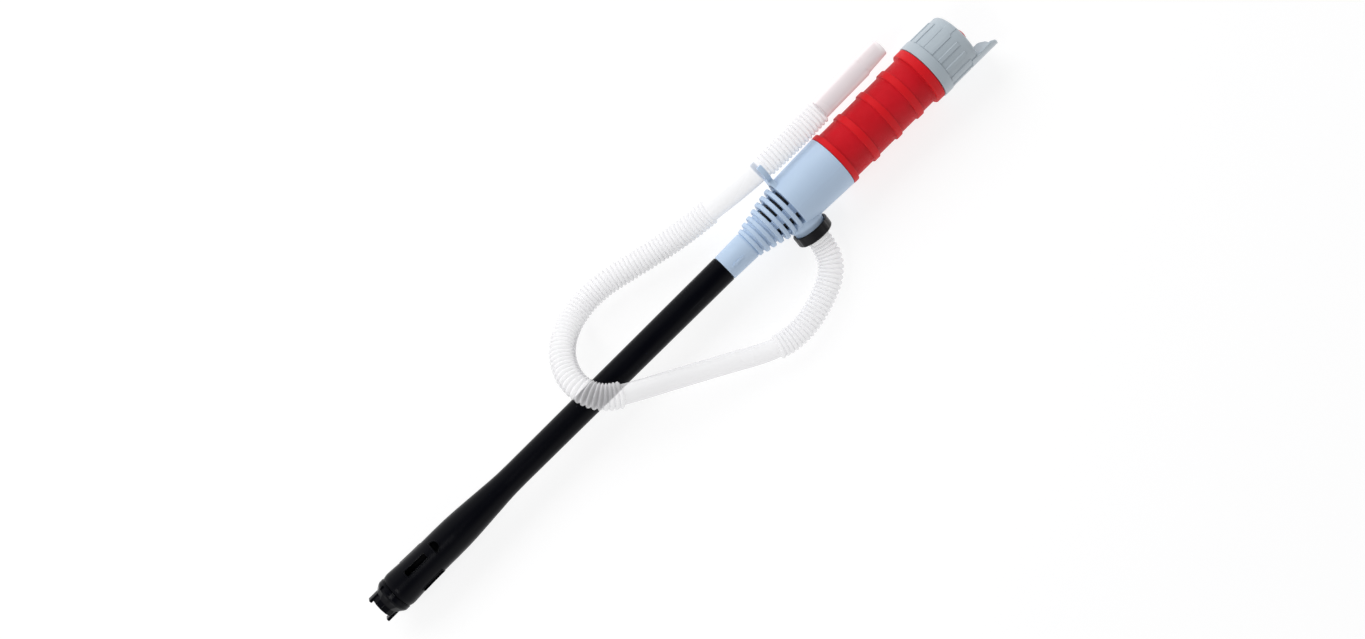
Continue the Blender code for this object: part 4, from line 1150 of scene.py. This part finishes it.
def wing():
    """The guard that stands on the rim beside the button: a curved wall with a rounded outline."""
    corners = [
        (WING_HALF, WING_BASE, 0.0),
        (WING_HALF, CAP_TOP + 13.3, 4.0),
        (12.5, CAP_TOP + 17.5, 3.0),
        (4.9, CAP_TOP + 18.2, 0.6),
        (4.7, TOTAL_LENGTH, 0.5),
        (0.0, TOTAL_LENGTH, 0.0),
    ]
    tops = np.array(sorted(rounded(corners, False).tolist()))
    across = np.linspace(-WING_HALF, WING_HALF, WING_COLUMNS)
    heights = np.interp(np.abs(across), tops[:, 0], tops[:, 1])
    middle = (WING_INNER + WING_OUTER) / 2
    bm = bmesh.new()
    columns = []
    for x, top in zip(across, heights):
        angle = math.pi + math.radians(WING_TURN) + x / middle
        column = []
        for row in range(WING_ROWS + 1):
            height = WING_BASE + (top - WING_BASE) * row / WING_ROWS
            column.append(bm.verts.new((-middle * math.sin(angle), middle * math.cos(angle), height)))
        columns.append(column)
    for left, right in zip(columns, columns[1:]):
        for row in range(WING_ROWS):
            bm.faces.new((left[row], left[row + 1], right[row + 1], right[row]))
    mesh = bpy.data.meshes.new("cap_guard")
    bm.transform(LAY)
    bm.to_mesh(mesh)
    bm.free()
    guard = new_object("cap_guard", mesh)
    thick = guard.modifiers.new("Thickness", "SOLIDIFY")
    thick.thickness = (WING_OUTER - WING_INNER) * MM
    thick.offset = 0.0
    soft = guard.modifiers.new("Edges", "BEVEL")
    soft.width = WING_EDGE * MM
    soft.segments = 3
    soft.limit_method = "ANGLE"
    soft.angle_limit = math.radians(50.0)
    depsgraph = bpy.context.evaluated_depsgraph_get()
    guard.data = bpy.data.meshes.new_from_object(guard.evaluated_get(depsgraph))
    guard.modifiers.clear()
    return smooth(guard)


def wing_bead():
    """The rounded lip across the guard's tip."""
    turns = np.linspace(-BEAD_HALF, BEAD_HALF, 13) / WING_INNER
    line = [(WING_INNER * math.sin(a), -WING_INNER * math.cos(a), TOTAL_LENGTH - 1.15) for a in turns]
    radii = [BEAD_RADIUS * math.sqrt(max(0.05, 1.0 - (a / turns[-1]) ** 6)) for a in turns]
    return sweep("wing_bead", line, radii, 14, LAY @ around(WING_TURN))


def cap():
    """The screw cap: flange, finger ribs, rounded shoulder, the switch's hole and the guard beside it."""
    body = lathe(
        "cap",
        [
            (7.3, CAP_TOP - 1.0, 0.3),
            (9.2, CAP_TOP - 0.9, 0.6),
            (10.4, CAP_TOP, 0.8),
            (22.75, CAP_TOP, 4.9),
            (22.8, RIB_HIGH + 0.3),
            (22.8, RIB_HIGH),
            (22.8, RIB_HIGH - RIB_END),
            (22.9, RIB_LOW + 0.2),
            (22.9, RIB_LOW),
            (22.9, RIB_LOW - RELIEF_EDGE),
            (22.95, FLANGE_TOP + 0.05),
            (FLANGE_RADIUS, FLANGE_TOP, 0.5),
            (FLANGE_RADIUS, CAP_LOW, 0.4),
            (CAP_BORE, CAP_LOW, 0.4),
            (CAP_BORE, 597.6, 1.5),
            (18.6, 600.2, 1.0),
            (10.9, 600.2),
            (10.9, 594.2, 0.3),
            (9.4, 594.2, 0.3),
            (9.4, 600.2),
            (7.3, 600.2, 0.2),
        ],
        shape=cap_relief,
        angles=relief_angles(),
    )
    join(body, wing(), wing_bead())
    piece(body, "end_cap", "grey_plastic", "end_cap")


def button():
    """The domed push button, with its hidden flange under the cap's end."""
    dome = lathe(
        "button",
        [
            (0.0, 608.3),
            (2.6, 608.1, 2.0),
            (4.8, 607.3, 2.0),
            (6.3, 606.0, 1.6),
            (7.0, 604.2, 1.2),
            (7.0, 599.9),
            (8.6, 599.9, 0.3),
            (8.6, 598.4, 0.3),
            (0.0, 598.4),
        ],
        80,
    )
    piece(dome, "switch_button", "button_plastic", "switch_button")


def return_spring():
    """The conical spring that presses on the last cell."""
    low = CELL_START + 2 * CELL_LENGTH + 1.0
    line = []
    for share in np.linspace(0.0, 1.0, 150):
        reach = SPRING_NARROW + SPRING_WIDEN * share
        angle = math.tau * SPRING_TURNS * share
        line.append((reach * math.cos(angle), reach * math.sin(angle), low + SPRING_HEIGHT * share))
    spring = sweep("spring", line, np.full(len(line), SPRING_WIRE / 2), 10)
    piece(spring, "cap_insert", "steel", "contact_spring")


cap()
button()
return_spring()


# ---- what the frame's own solids wear ----


def dress_frame():
    """Every CAD solid that still shows gets the finish of its slot."""
    slots = {row["node"]: row["material_slot"] for row in frame["record"]["subparts"]}
    for name, node in frame["nodes"].items():
        node.data.materials.clear()
        node.data.materials.append(FINISHES[slots[name]])


dress_frame()
stage()
